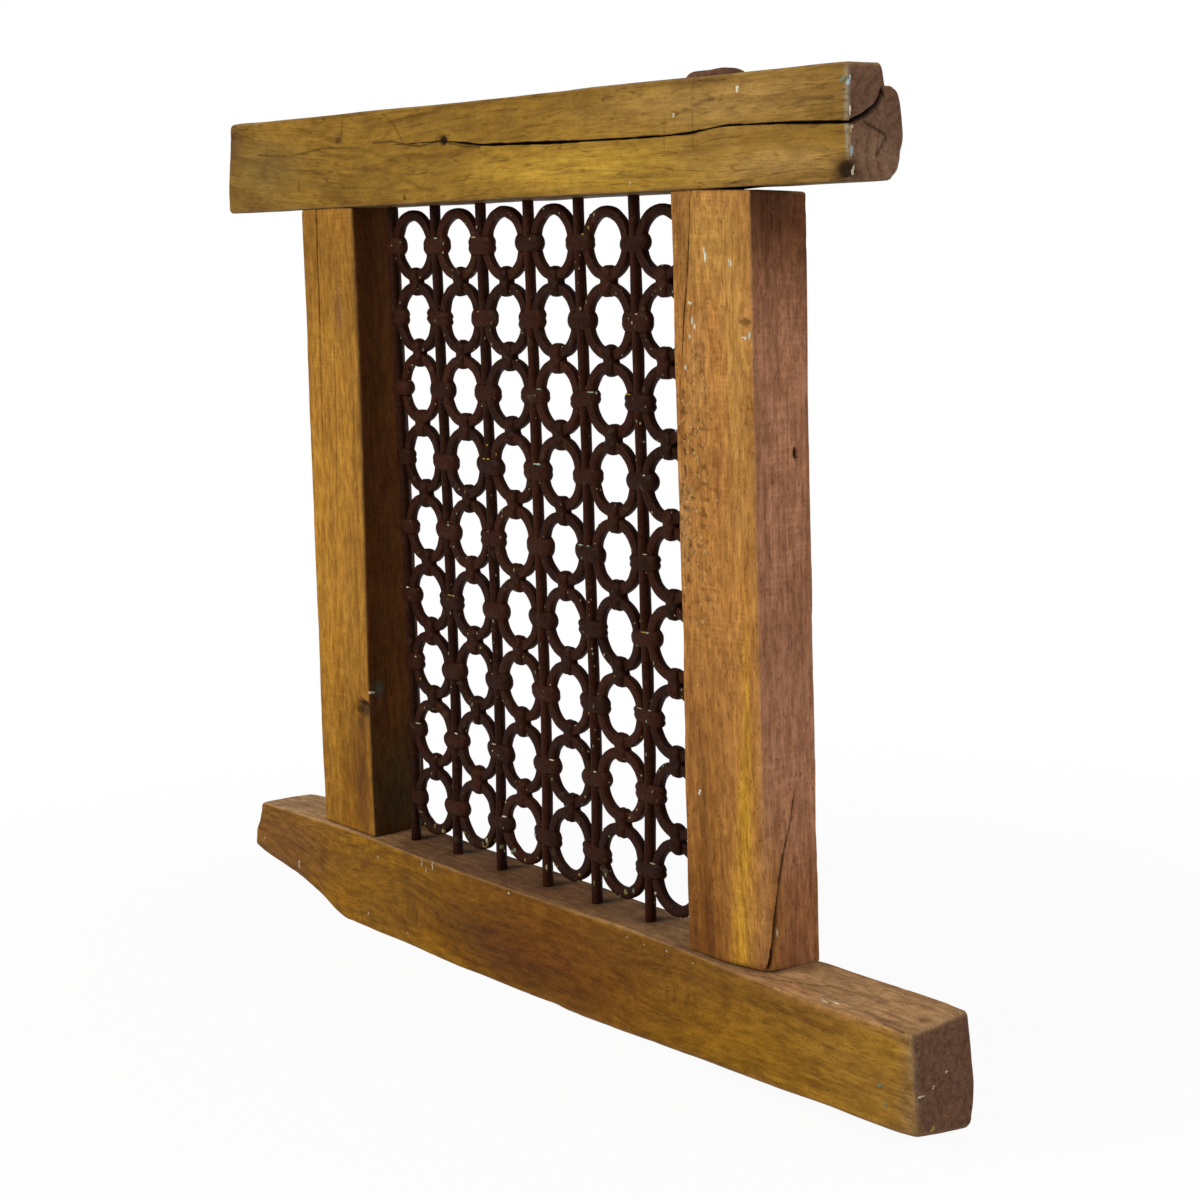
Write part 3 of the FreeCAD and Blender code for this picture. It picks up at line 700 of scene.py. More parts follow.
def endSplitPit(points, outward, lift, crack):
    # the split goes on across the right end, from the front arris up to the sliver's step, over a fine check
    tall = lintelHigh[2] - lintelLow[2]
    rise = lintelLow[2] + (points[..., 2] - lintelLow[2]) / tall * (tall - lintelCut["fall"])
    for path, wide, deep, dark in endCracks:
        far = distanceToPath(points[..., 1], rise, np.array(path) * mm)
        inside = np.clip(1 - far / (wide * mm), 0, 1) * ease(outward[..., 0], *hewing["crackFacing"])
        lift = lift - deep * mm * inside ** hewing["crackRound"]
        crack = np.maximum(crack, dark * ease(inside, 0.0, hewing["endDark"]))
    return lift, crack


longSplit = crackLine("front", 0.54, 9, 10, [-400, -76.4, -23, 31, 84, 159, 208, 238, 277, 335, 404],
                      [0.647, 0.617, 0.548, 0.532, 0.515, 0.5, 0.498, 0.504, 0.547, 0.531, 0.493],
                      [-190, -170, -90, -74, -30, 30, 80, 120, 270, 340, 404],
                      [0, 0.4, 0.6, 0.9, 2.2, 3, 2.6, 1.8, 1.6, 2, 2.8])
lintelCut.update({
    **hewnCut, "low": lintelLow, "high": lintelHigh, "loops": 480, "around": (54, 34, 34, 24), "seed": 8.7,
    "endPole": (22 / 45, 0.65), "front": -30, "arris": 2.6, "nick": 1.5, "form": lintelForm,
    "pith": (45, 655),
    "waves": [(0.7, (120, 40, 34)), (0.25, (36, 12, 11)), (0.1, (44, 2.4, 2.4))],
    "worn": [((403, 19, 640), (14, 16, 20), 9), ((403, -4, 718), (12, 40, 14), 3),
             ((403, 19, 700), (12, 12, 30), 1), ((403, 21.5, 721.5), (14, 9, 12), 3.5),
             ((-450, 0, 680), (12, 60, 60), 1)],
    "lines": [longSplit, {"side": "high", "rest": 0.7, "path": sliverPart}],
    "sweep": curveInMm([-450, -330, -220, -120, 0, 120, 260, 400], [-12, -4, 5, 0, -7, -9, -5, -9], 50),
    "knots": [(-79, 689, 34, 11), (-245, 697.5, 26, 9), (0, 703, 26, 7)],
    "pits": [endSplitPit, *(hairline("front", *check) for check in lintelChecks),
             dent((-78, -26, 690), (5.8, 8, 4.2), 2.4, 0.95), dent((-245, -26, 697.5), (4, 6, 3), 0.6, 0.5),
             dent((-141, -26, 645.5), (2.6, 5, 2.2), 1.2, 0.7),
             dent((398.5, -26, 648.5), (7.5, 9, 7), 3, 0.8), dent((-438, -26, 708), (9, 8, 6), 1.6)],
    "tones": {"front": (0.238, 0.13, 0.019), "high": (0.33, 0.2, 0.09), "back": (0.26, 0.14, 0.045),
              "low": (0.16, 0.09, 0.03), "start": (0.24, 0.13, 0.045), "end": (0.154, 0.078, 0.047)},
    "stainsAndShade": [
        ((-380, 675), (70, 30), (0.185, 0.118, 0.034), 0.7),
        ((402, -25.5, 682), (2.2, 2.2, 50), (0.42, 0.42, 0.36), 0.55),
        ((236, 668), (12, 7), (0.14, 0.075, 0.025), 0.6),
        ((272, 673), (16, 3), (0.15, 0.08, 0.025), 0.6),
        ((16, 700), (8, 8), (0.12, 0.065, 0.018), 0.5),
        ((-440, -30, 705), (20, 30, 20), (0.1, 0.045, 0.022), 0.8),
        ((100, 660), (160, 18), (0.49, 0.297, 0.04), 0.8),
        ((300, 700), (120, 20), (0.405, 0.245, 0.074), 0.8),
        ((340, 654), (80, 12), (0.47, 0.286, 0.092), 0.7),
        ((260, 668), (30, 12), (0.22, 0.12, 0.024), 0.8),
        ((403, 0, 658), (20, 50, 16), (0.212, 0.121, 0.073), 0.9, "end"),
        # near black painted into the notch at the right end: painted shade in the hollow
        ((397, -27, 647.5), (11, 12, 10), (0.026, 0.011, 0.005), 0.95),
        ((-245, 697.5), (10, 6), (0.13, 0.07, 0.02), 0.7)],
})
lintelTimber = timberMaterial("lintelTimber", {
    "ringGap": 8.5 * mm, "waver": 0.02, "ringColour": (0.45, 0.36, 0.25),
    "blotch": ((0.78, 0.75, 0.71), (1.16, 1.15, 1.09)), "fibre": ((0.83, 0.8, 0.75), (1.15, 1.15, 1.13)),
    "mottle": ((0.86, 0.83, 0.79), (1.12, 1.12, 1.1)),
    "lines": 0.55, "specks": 0.38, "rings": 0.5, "pores": 0.4, "saw": 0.1,
    "wear": 0.2, "rough": 0.6, "bump": 0.4,
})
makePiece("splitLintel", [hewnTimber(lintelCut)], lintelTimber, ["lintel"])


# Jambs: opening side nearly upright, outer side leaning, tenons into sill and lintel

jambFoot, jambHead = sillHigh[2], lintelLow[2]
tenonCut = metres(wide=30, thick=18, burrWide=48, burrThick=24, burrLong=24, overlap=6)
jambCut = {**hewnCut, "axis": "z", "arrisWaver": 0.4, "front": -23}
# an outer shoulder's drop: its curve across the head and its share in front, with what each gains to the back
shoulderFall = {"curve": 2.2, "curveGain": -1.4, "share": 0.45, "shareGain": 0.55, "from": 0.8}
jambTimber = timberMaterial("jambTimber", {
    "ringGap": 6.5 * mm, "waver": 0.014, "ringColour": (0.5, 0.38, 0.27),
    "blotch": ((0.79, 0.74, 0.68), (1.16, 1.14, 1.08)), "fibre": ((0.82, 0.78, 0.72), (1.14, 1.13, 1.12)),
    "mottle": ((0.78, 0.73, 0.68), (1.18, 1.18, 1.16)),
    "lines": 0.3, "specks": 0.68, "rings": 0.3, "pores": 0.5, "saw": 0.4,
    "wear": 0.2, "rough": 0.6, "bump": 0.36,
})


def tenonShell(cut, x, low, high, wide=tenonCut["wide"], thick=tenonCut["thick"]):
    # a plain hewn core that runs on from the shoulder into the mortise
    y = (lintelLow[1] + lintelHigh[1]) / 2
    return hewnTimber({
        **cut, "low": (low, y - thick / 2, x - wide / 2), "high": (high, y + thick / 2, x + wide / 2),
        "loops": 24, "around": (20, 14, 20, 14), "arris": 7, "lines": [], "pits": [],
        "stainsAndShade": [], "worn": [],
        "form": lambda points, unit: points, "tones": {side: (0.11, 0.048, 0.03) for side in cut["tones"]},
    })


def jambForm(cut, inner):
    # the opening side draws back in front by its own hollow, the outer side leans from foot to head and
    # flares by amounts of its own in front and at the back, and the outer shoulder drops, most at the back
    def form(points, unit):
        along, depth, rise = np.moveaxis(points, -1, 0)
        up, back, right = np.moveaxis(unit, -1, 0)
        wide = cut["footWide"] + up * (cut["headWide"] - cut["footWide"])
        wide = wide + cut["frontFlare"](along) * (1 - back) + cut["backFlare"](along) * back
        part = 1 - right if cut["outward"] < 0 else right
        hollow = (1 - part) * (1 - back) * cut["hollow"](along)
        rise = inner + cut["outward"] * (part * wide + hollow)
        part, back = np.clip(part, 0, 1), np.clip(back, 0, 1)
        fallen = part ** (shoulderFall["curve"] + shoulderFall["curveGain"] * back)
        fallen = fallen * (shoulderFall["share"] + shoulderFall["shareGain"] * back)
        along = along - cut["shoulderDrop"] * fallen * ease(up, shoulderFall["from"], 1.0)
        return np.stack([along, depth, rise], axis=-1)
    return form


def makeJamb(name, node, cut):
    # the timber between sill and lintel, its two tenons and, where the upper one comes out, its burred end
    low, high = boxOf(node)
    inner = high[0] if cut["outward"] < 0 else low[0]
    cut.update({"low": (jambFoot, low[1], low[0]), "high": (jambHead, high[1], high[0]),
                "form": jambForm(cut, inner)})
    x = inner + cut["outward"] * (cut["tenonIn"] + tenonCut["wide"] / 2)
    shells = [hewnTimber(cut), tenonShell(cut, x, low[2], jambFoot + tenonCut["overlap"]),
              tenonShell(cut, x, jambHead - tenonCut["overlap"], high[2])]
    if cut["burred"]:
        shells.append(tenonShell(cut, x, high[2] - tenonCut["burrLong"], high[2], tenonCut["burrWide"],
                                 tenonCut["burrThick"]))
    makePiece(name, shells, jambTimber, [node])


leftCut = {
    **jambCut, **metres(footWide=90, headWide=77, tenonIn=22, shoulderDrop=0), "outward": -1, "burred": False,
    "hollow": curveInMm([84, 180, 290, 400, 530, 640], [2.6, 2.6, -0.8, -5, -8.6, -8.6], 40),
    "frontFlare": curveInMm([84, 640], [1, 1], 10), "backFlare": curveInMm([84, 640], [1, 1], 10),
    "loops": 330, "around": (48, 30, 36, 26), "seed": 14.3, "arris": 2.2, "nick": 1.2, "pith": (60, -300),
    "waves": [(0.6, (120, 36, 34)), (0.22, (40, 12, 11)), (0.1, (46, 2.4, 2.4))],
    "worn": [((520, -22.5, -242), (200, 14, 14), 3)],
    "lines": [crackLine("front", 0.28, 5, 12, [380, 450, 523.5, 578.7, 640.5],
                        [0.272, 0.273, 0.277, 0.292, 0.3115], [395, 430, 520, 600, 640.5],
                        [0, 0.9, 1.3, 1.8, 2.2]),
              crackLine("front", 0.54, 3, 12, [360, 402.9, 465.1, 523.9], [0.51, 0.521, 0.544, 0.565],
                        [395, 420, 500, 530], [0, 0.7, 0.8, 0])],
    "sweep": curveInMm([80, 250, 420, 640], [0, 5, -3, 3], 60), "knots": [(203, -254, 30, 9)],
    "pits": [dent((200.5, -23, -254.5), (8.5, 10, 14), 2.5, 0.45),
             dent((198.5, -23, -260.5), (4.5, 10, 7), 1.6, 0.75),
             dent((204.5, -23, -253.5), (3.6, 10, 10), 2, 0.9), dent((214, -22, -243.5), (8, 6, 4), 1.6)],
    # the opening side, high here, is near black: partly the wood's own dark tone, partly painted shade where
    # the grille and the right jamb keep the light off
    "tones": {"front": (0.4, 0.197, 0.028), "high": (0.09, 0.0295, 0.006), "back": (0.28, 0.14, 0.045),
              "low": (0.3, 0.15, 0.05), "start": (0.2, 0.1, 0.05), "end": (0.2, 0.1, 0.05)},
    "stainsAndShade": [
        ((-280, 120), (80, 110), (0.184, 0.0756, 0.0053), 0.85),
        ((-280, 600), (80, 90), (0.252, 0.12, 0.019), 0.85),
        ((-246.5, 420), (2.5, 60), (0.12, 0.05, 0.01), 0.7),
        ((-255, 300), (2, 50), (0.2, 0.08, 0.01), 0.6),
        ((-310, 170), (9, 120), (0.38, 0.19, 0.025), 0.75),
        ((-262, 140), (12, 50), (0.12, 0.04, 0.004), 0.7),
        ((-256, 188), (6, 12), (0.1, 0.03, 0.012), 0.6),
        ((-290, 0, 84), (200, 200, 1.6), (0.012, 0.007, 0.004), 0.9),
        ((-250, -23, 199), (12, 10, 6), (0.1, 0.05, 0.02), 0.8),
        ((-242.4, -12.5, 218.5), (6, 5.5, 7.5), (0.06, 0.1, 0.08), 0.75),
        ((-262, -23, 550), (10, 10, 20), (0.22, 0.1, 0.035), 0.6),
        ((-242, 0, 120), (10, 50, 60), (0.042, 0.03, 0.011), 0.75, "high")],
}
makeJamb("leftJamb", "left_jamb", leftCut)


# height and place across of the worm-eaten field, in millimetres, with the holes in it
wormField = {"place": (430, 226), "reach": (110, 26), "cell": (3.8, 9, 2.9), "seed": 31.7,
             "holes": (0.2, 0.6), "deep": 1 * mm, "dark": 0.55}


def wormPits(points, outward, lift, crack):
    # scattered shallow holes over the worn left half of the front
    far = (points[..., [0, 2]] / mm - wormField["place"]) / wormField["reach"]
    field = np.exp(-(far ** 4).sum(axis=-1)) * ease(-outward[..., 1], *hewing["fineFacing"])
    holes = field * ease(latticeNoise(points, wormField["cell"], wormField["seed"]), *wormField["holes"])
    return lift - wormField["deep"] * holes, np.maximum(crack, wormField["dark"] * holes)


rightCut = {
    **jambCut, **metres(footWide=83, headWide=88, tenonIn=18, shoulderDrop=4.5), "outward": 1, "burred": True,
    "hollow": curveInMm([84, 160, 330, 640], [0, 0, 2.4, 2.4], 40),
    "frontFlare": curveInMm([84, 200, 330, 450, 640], [5, 6.5, 5, 4, 3.5], 30),
    "backFlare": curveInMm([84, 200, 330, 450, 640], [4.6, 3, 2, 0.8, 0.5], 30),
    "loops": 380, "around": (50, 40, 36, 26), "seed": 21.9, "arris": 2.6, "nick": 1.3, "pith": (55, 310),
    "waves": [(0.6, (120, 36, 34)), (0.24, (40, 12, 11)), (0.1, (46, 2.4, 2.4))],
    "worn": [((100, -23, 291), (130, 22, 22), 8)],
    "lines": [crackLine("front", 0.2, 2.5, 10, [460, 523, 553, 578, 615, 640.5],
                        [0.09, 0.107, 0.147, 0.2, 0.247, 0.27], [500, 530, 600, 640.5], [0, 0.9, 1.2, 1.4]),
              crackLine("high", 0.35, 9, 8, [84, 126, 153, 173, 193, 222, 300],
                        [0.1, 0.215, 0.285, 0.37, 0.5, 0.61, 0.68], [84, 126, 160, 190, 210, 225],
                        [3.4, 3.2, 2.5, 1.5, 0.8, 0])],
    "sweep": curveInMm([80, 200, 330, 640], [-14, -5, 1, 0], 60), "knots": [(548, 292, 26, 9)],
    "pits": [wormPits, dent((456, 16, 295.5), (5, 2, 5), 3, 1.0),
             dent((549, -22, 288.5), (2.8, 5, 7.5), 1.6, 0.6)],
    "tones": {"front": (0.422, 0.194, 0.0495), "high": (0.357, 0.1635, 0.089), "back": (0.28, 0.14, 0.05),
              "low": (0.2, 0.09, 0.03), "start": (0.2, 0.1, 0.05), "end": (0.2, 0.1, 0.05)},
    "stainsAndShade": [
        ((228, 100), (45, 85), (0.12, 0.036, 0.003), 0.85),
        ((284, 270), (4, 70), (0.56, 0.294, 0.03), 0.8),
        ((279, 190), (7, 60), (0.612, 0.345, 0.023), 0.9),
        ((272, 100), (9, 60), (0.612, 0.345, 0.022), 0.9),
        ((240, 610), (50, 40), (0.41, 0.252, 0.058), 0.5),
        ((232, 150), (4, 80), (0.11, 0.036, 0.004), 0.6),
        ((245.5, 170), (3, 90), (0.33, 0.14, 0.022), 0.7),
        ((223.5, 120), (3, 50), (0.27, 0.11, 0.018), 0.6),
        ((294, 0, 620), (12, 200, 60), (0.07, 0.0185, 0.0018), 0.9, "high"),
        ((294, 0, 120), (12, 200, 50), (0.305, 0.1154, 0.0347), 0.7, "high"),
        ((294, -16, 120), (30, 12, 70), (0.4, 0.18, 0.045), 0.8),
        ((221, 620), (12, 60), (0.22, 0.09, 0.022), 0.8),
        ((216, 400), (8, 140), (0.28, 0.115, 0.03), 0.5),
        ((216, 410), (9, 35), (0.58, 0.33, 0.12), 0.6),
        ((238, 510), (12, 40), (0.56, 0.3, 0.1), 0.5),
        ((258.5, 442), (8, 35), (0.27, 0.105, 0.03), 0.65),
        ((281, 520), (12, 100), (0.54, 0.3, 0.077), 0.75),
        ((250, 0, 84), (200, 200, 1.6), (0.012, 0.007, 0.004), 0.9)],
}
makeJamb("rightJamb", "right_jamb", rightCut)


# Iron: blackened, rust tinted, hammered, with a dull sheen

# each patch's noise by scale, detail and roughness, the limits it comes up between, its share and colour
ironPatches = {"rust": ((120.0, 4.0, 0.65), (0.45, 0.7), 0.55, (0.042, 0.0138, 0.006, 1)),
               "dust": ((260.0, 3.0, 0.6), (0.58, 0.75), 0.16, (0.06, 0.036, 0.022, 1)),
               "stale": ((75.0, 4.0, 0.62), (0.6, 0.72), 0.22, (0.13, 0.1, 0.055, 1))}
ironSkin = {"fine": (460.0, 3.0, 0.65), "shades": [(0.3, (0.55, 0.55, 0.55)), (0.7, (1.5, 1.5, 1.5))],
            "dents": (190.0, 2.0), "dentShare": 2.4, "rough": (0.42, 0.62), "sheen": 0.04, "bump": 0.5,
            "relief": 0.6 * mm}


def ironMaterial():
    # each forging's own tone under patches of rust, dust and stale crust, all shaded by a fine noise
    material, tree, skin = newMaterial("hammeredIron")
    place = addNode(tree, "TexCoord", {})["Object"]
    colour = attribute(tree, "tone", "Color")
    patches = {}
    for name, (noise, limits, share, shade) in ironPatches.items():
        patches[name] = span(tree, noiseOf(tree, place, *noise), *limits)
        colour = blendColour(tree, "MIX", calc(tree, "MULTIPLY", patches[name], share), colour, shade)
    fine = noiseOf(tree, place, *ironSkin["fine"])
    colour = blendColour(tree, "MULTIPLY", 1.0, colour, ramp(tree, fine, ironSkin["shades"]))
    dents = noiseOf(tree, place, *ironSkin["dents"])
    height = calc(tree, "MULTIPLY_ADD", dents, ironSkin["dentShare"], fine)
    rough = span(tree, patches["rust"], 0.0, 1.0, *ironSkin["rough"])
    feed(tree, skin, {"Base Color": colour, "Roughness": rough, "Specular IOR Level": ironSkin["sheen"],
                      "Normal": bump(tree, height, ironSkin["bump"], ironSkin["relief"])})
    return material


hammeredIron = ironMaterial()
ironSeed = 47
draw = np.random.default_rng(ironSeed)
ironTones = np.array([(0.02, 0.0052, 0.002), (0.028, 0.0074, 0.0028), (0.021, 0.006, 0.003),
                      (0.033, 0.0088, 0.0032)])
grilleBend = metres(lean=-4.2, leanReach=80, drift=0.6, columnDrift=2.4, driftSpan=[50, 140],
                    easeSpan=[175, 198], sag=-3.4, sagSpan=[-62, -6], sagEnd=4, sagColumns=[30, 90])
grilleBend["easeShare"] = 0.5


def grilleLean(z):
    # how far the iron stands forwards: most at the sill, fading up the first two rows
    return grilleBend["lean"] * np.exp(-((z - jambFoot) / grilleBend["leanReach"]) ** 2)


def grilleDrift(x):
    # how far the iron stands to the right: the last two columns lean towards their jamb, the last bar less
    last = ease(x, *grilleBend["driftSpan"])
    last = last * (1 - grilleBend["easeShare"] * ease(x, *grilleBend["easeSpan"]))
    return grilleBend["drift"] + grilleBend["columnDrift"] * last


def grilleSag(z, x):
    # how far the last two columns' top rings hang: their upper halves are a little flat
    top = ease(z, *(jambHead + grilleBend["sagSpan"])) * ease(z, jambHead + grilleBend["sagEnd"], jambHead)
    return grilleBend["sag"] * top * ease(x, *grilleBend["sagColumns"])


def ironTone(shape):
    # one tone a forging, the same over all its vertices
    picked = ironTones[draw.integers(0, len(ironTones), shape[0])]
    return np.broadcast_to(picked.reshape(shape[0], *([1] * (len(shape) - 1)), 3), (*shape, 3))


def makeIron(name, node, shells):
    # forgings that stand for a node, all of one iron
    makePiece(name, shells, hammeredIron, [node])


def superRound(angle, power):
    # a rounded square: cosine and sine drawn towards the corners by the power
    return [np.sign(value) * np.abs(value) ** (2 / power) for value in (np.cos(angle), np.sin(angle))]


# Upright bars: rods drawn by hand, a little out of round and out of line

barForging = {"loops": 150, "around": 20, "waver": 0.35 * mm, "waverCell": 90, "stout": 0.5 * mm,
              "forwards": -0.6 * mm, "dents": 0.3 * mm, "dentCell": (8, 8, 22), "noiseRound": 10 * mm}


def forgedBar(low, high, seed):
    # circles carried up a line that wanders a little and leans with the grille
    z = np.linspace(low[2], high[2], barForging["loops"])[:, None]
    angle = fullTurn(barForging["around"])[None, :]
    noiseRound = barForging["noiseRound"]
    spot = np.stack(np.broadcast_arrays(noiseRound * np.cos(angle), noiseRound * np.sin(angle), z), axis=-1)
    radius = (high[0] - low[0]) / 2 + barForging["stout"]
    radius = radius + barForging["dents"] * latticeNoise(spot, barForging["dentCell"], seed)
    line = np.concatenate([np.zeros((len(z), 2)), z], axis=1)
    sideways, forwards = (barForging["waver"] * latticeNoise(line, barForging["waverCell"], seed + shift)
                          for shift in (2, 5))
    forwards = forwards + barForging["forwards"] + grilleLean(z[:, 0])
    middle = (low[0] + high[0]) / 2
    x = middle + grilleDrift(middle) + sideways[:, None] + radius * np.cos(angle)
    y = (low[1] + high[1]) / 2 + forwards[:, None] + radius * np.sin(angle)
    points = np.stack([x, y, np.broadcast_to(z, x.shape)], axis=-1)
    tone = np.broadcast_to(ironTones[draw.integers(len(ironTones))], points.shape)
    return closedShell(points, {"tone": tone}, flip=True)


barSeedStep = 3.7
for number in barNumbers:
    node = f"bar_{number}"
    makeIron(f"uprightBar{number}", node, [forgedBar(*boxOf(node), barSeedStep * number)])


# Rings: squarish iron turned into rings, each a little oval and uneven

ringForging = {"rows": 9, "wide": 8.9 * mm, "deep": 7 * mm, "steps": 76, "around": 16, "power": 4.1,
               "square": 2.2, "broad": 1.033, "oval": 0.008, "thick": 0.08, "tilt": 0.02, "slip": 0.2 * mm,
               "free": (0, 0.5), "noiseTurn": 30 * mm, "noiseRound": 6 * mm, "dentCell": (9, 5, 9),
               "seed": 2.3}


def ringColumn(low, high):
    # a rounded square carried round each ring, which is pressed a little square and broad between its
    # neighbours but stays round where it is free, at the head of the top row and the foot of the bottom one
    rows, steps, around = ringForging["rows"], ringForging["steps"], ringForging["around"]
    outside, deep, square = high[0] - low[0], ringForging["deep"], ringForging["square"]
    pitch = (high[2] - low[2] - outside) / (rows - 1)
    turn = fullTurn(steps)[None, :, None]
    angle = fullTurn(around)[None, None, :]
    across, forwards = superRound(angle, ringForging["power"])
    oval = draw.normal(0, ringForging["oval"], (rows, 1, 1))
    ovalTurn = draw.uniform(0, math.pi, (rows, 1, 1))
    row = np.arange(rows)[:, None, None]
    noiseTurn, noiseRound = ringForging["noiseTurn"], ringForging["noiseRound"]
    spot = np.stack(np.broadcast_arrays(np.cos(turn) * noiseTurn + noiseRound * np.cos(angle),
                                        np.sin(angle) * noiseRound,
                                        np.sin(turn) * noiseTurn + pitch * row), axis=-1)
    dents = latticeNoise(spot + low, ringForging["dentCell"], ringForging["seed"])
    hammer = 1 + ringForging["thick"] * dents
    head, foot = (ease(way * np.sin(turn), *ringForging["free"]) for way in (1, -1))
    free = (row == rows - 1) * head + (row == 0) * foot
    press = (np.abs(np.cos(turn)) ** square + np.abs(np.sin(turn)) ** square) ** (-1 / square)
    radius = (outside - ringForging["wide"]) / 2 * (1 + oval * np.cos(2 * (turn - ovalTurn)))
    radius = radius * (press + free * (1 - press))
    radius = radius + across * ringForging["wide"] / 2 * hammer
    tilt = draw.normal(0, ringForging["tilt"], (2, rows, 1, 1))
    slip = draw.normal(0, ringForging["slip"], (3, rows, 1, 1))
    right, up = radius * np.cos(turn) * ringForging["broad"], radius * np.sin(turn)
    back = forwards * deep / 2 * hammer + tilt[0] * right + tilt[1] * up
    centre = low[2] + outside / 2 + pitch * row
    height = centre + up + slip[2]
    middle = (low + high) / 2
    points = np.stack([middle[0] + grilleDrift(middle[0]) + right + slip[0],
                       middle[1] + back + slip[1] + grilleLean(height),
                       height + grilleSag(height, middle[0])], axis=-1)
    return forgingShells(points, ironTone((rows, steps, around)))


def forgingShells(points, tone):
    # one closed shell for each forging of a row
    faces = gridFaces(points.shape[1], points.shape[2], closedRows=True).tolist()
    return [(grid.reshape(-1, 3), faces, {"tone": shade.reshape(-1, 3)}) for grid, shade in zip(points, tone)]


for column in columnNumbers:
    node = f"ring_column_{column}"
    makeIron(f"ringColumn{column}", node, ringColumn(*boxOf(node)))


# Collars: half-round strip closed hot round the irons it binds

collarForging = {
    "thick": 3.4 * mm, "power": 3.4, "steps": 44, "crown": 11, "edge": 0.06, "heart": 0.2, "round": 0.84,
    "groove": 0.4, "grooveReach": 0.24, "tilt": 0.05, "slip": 0.4 * mm, "full": 1.08, "swell": 0.08,
    "tallWaver": 0.06, "lapPlace": 0.27, "lapReach": 0.8, "lapDeep": 0.35, "waistReach": 2.6 * mm,
    "dents": 0.14, "dentCell": (50, 4, 4), "seed": 5.5, "noiseApart": 50 * mm, "noiseClimb": 4 * mm,
    "bar": {"broad": 1.2, "dish": 0.8, "front": 0.5, "ends": 1.38, "slim": 1 * mm, "waist": 0, "sag": 1,
            "turn": 1},
    "ring": {"broad": 1.25, "dish": 1.2, "front": 0.5, "ends": 0.92, "slim": 0, "waist": 1.5 * mm, "sag": 0,
             "turn": -1},
}


def collarLoop(halfWide, halfDeep, steps):
    # a rounded rectangle walked at even steps, with its outward direction
    turn = np.linspace(0, 2 * math.pi, 4001)
    wide, deep = superRound(turn, collarForging["power"])
    walked = np.concatenate([[0], np.cumsum(np.hypot(np.diff(halfWide * wide), np.diff(halfDeep * deep)))])
    even = np.interp(np.linspace(0, walked[-1], steps, endpoint=False), walked, turn)
    wide, deep = superRound(even, collarForging["power"])
    points = np.stack([halfWide * wide, halfDeep * deep], axis=-1)
    along = np.roll(points, -1, axis=0) - np.roll(points, 1, axis=0)
    outward = np.stack([along[:, 1], -along[:, 0]], axis=-1)
    return points, outward / np.linalg.norm(outward, axis=1, keepdims=True)


def collarRow(count, halfWide, halfDeep, halfTall, strip):
    # the strip's section, crowned outside with a groove in some, fuller at the ends than in front, drawn in
    # at its waist and sloping inside onto the irons, carried round the loop of each collar
    thick, steps, edge = collarForging["thick"], collarForging["steps"], collarForging["edge"]
    loop, outward = collarLoop(halfWide - thick, halfDeep - thick - strip["slim"], steps)
    climb = np.concatenate([np.linspace(-1, 1, collarForging["crown"]), [strip["dish"], -strip["dish"]]])
    outer = np.arange(len(climb)) < collarForging["crown"]
    crown = edge + (1 - edge) * np.clip(1 - climb ** 2, 0, 1) ** collarForging["round"]
    groove = collarForging["groove"] * draw.uniform(0, 1, (count, 1, 1)) ** 2
    groove = groove * np.exp(-(climb / collarForging["grooveReach"]) ** 2)
    swell = collarForging["full"] + draw.normal(0, collarForging["swell"], (count, 1, 1))
    swell = swell * (strip["front"] + (strip["ends"] - strip["front"]) * outward[None, :, :1] ** 4)
    fromLap = (np.arange(steps) - steps * collarForging["lapPlace"]) / collarForging["lapReach"]
    lap = 1 - collarForging["lapDeep"] * np.exp(-fromLap ** 2)[None, :, None]
    spot = np.stack(np.broadcast_arrays(np.arange(count)[:, None, None] * collarForging["noiseApart"],
                                        np.arange(steps)[None, :, None] * mm,
                                        climb * collarForging["noiseClimb"]), axis=-1)
    dents = latticeNoise(spot, collarForging["dentCell"], collarForging["seed"])
    hammer = 1 + collarForging["dents"] * dents
    lift = np.where(outer, thick * (crown - groove) * swell * hammer * lap, 0)
    waist = np.exp(-(loop[:, 0] / collarForging["waistReach"]) ** 2) * outward[:, 1] ** 2
    lift = lift - strip["waist"] * waist[None, :, None] * outer
    drawn = np.where(outer, 1.0, collarForging["heart"])
    flat = loop[None, :, None, :] * drawn[:, None] + lift[..., None] * outward[None, :, None, :]
    tilt, slip = (draw.normal(0, collarForging[part], (count, 1, 1)) for part in ("tilt", "slip"))
    tall = halfTall * (1 + draw.normal(0, collarForging["tallWaver"], (count, 1, 1)))
    up = climb * tall + tilt * flat[..., 0] + slip
    return flat[..., 0], flat[..., 1], np.broadcast_to(up, flat.shape[:-1])


def collarsOf(node, count, kind):
    # a bar's collars lie flat round bar and rings, a column's stand upright round each pair of rings
    strip = collarForging[kind]
    low, high = boxOf(node)
    middle, half = (low + high) / 2, (high - low) / 2
    halfTall = (high[2] - low[2] - ringPitch * (count - 1)) / 2
    if kind == "bar":
        right, back, up = collarRow(count, half[0], half[1], halfTall * strip["broad"], strip)
    else:
        up, back, right = collarRow(count, halfTall, half[1], half[0] * strip["broad"], strip)
    up = low[2] + halfTall + ringPitch * np.arange(count)[:, None, None] + up
    points = np.stack([middle[0] + grilleDrift(middle[0]) + right, middle[1] + back + grilleLean(up),
                       up + strip["sag"] * grilleSag(up, middle[0])], axis=-1)
    return forgingShells(points[:, ::strip["turn"]], ironTone(points.shape[:3]))


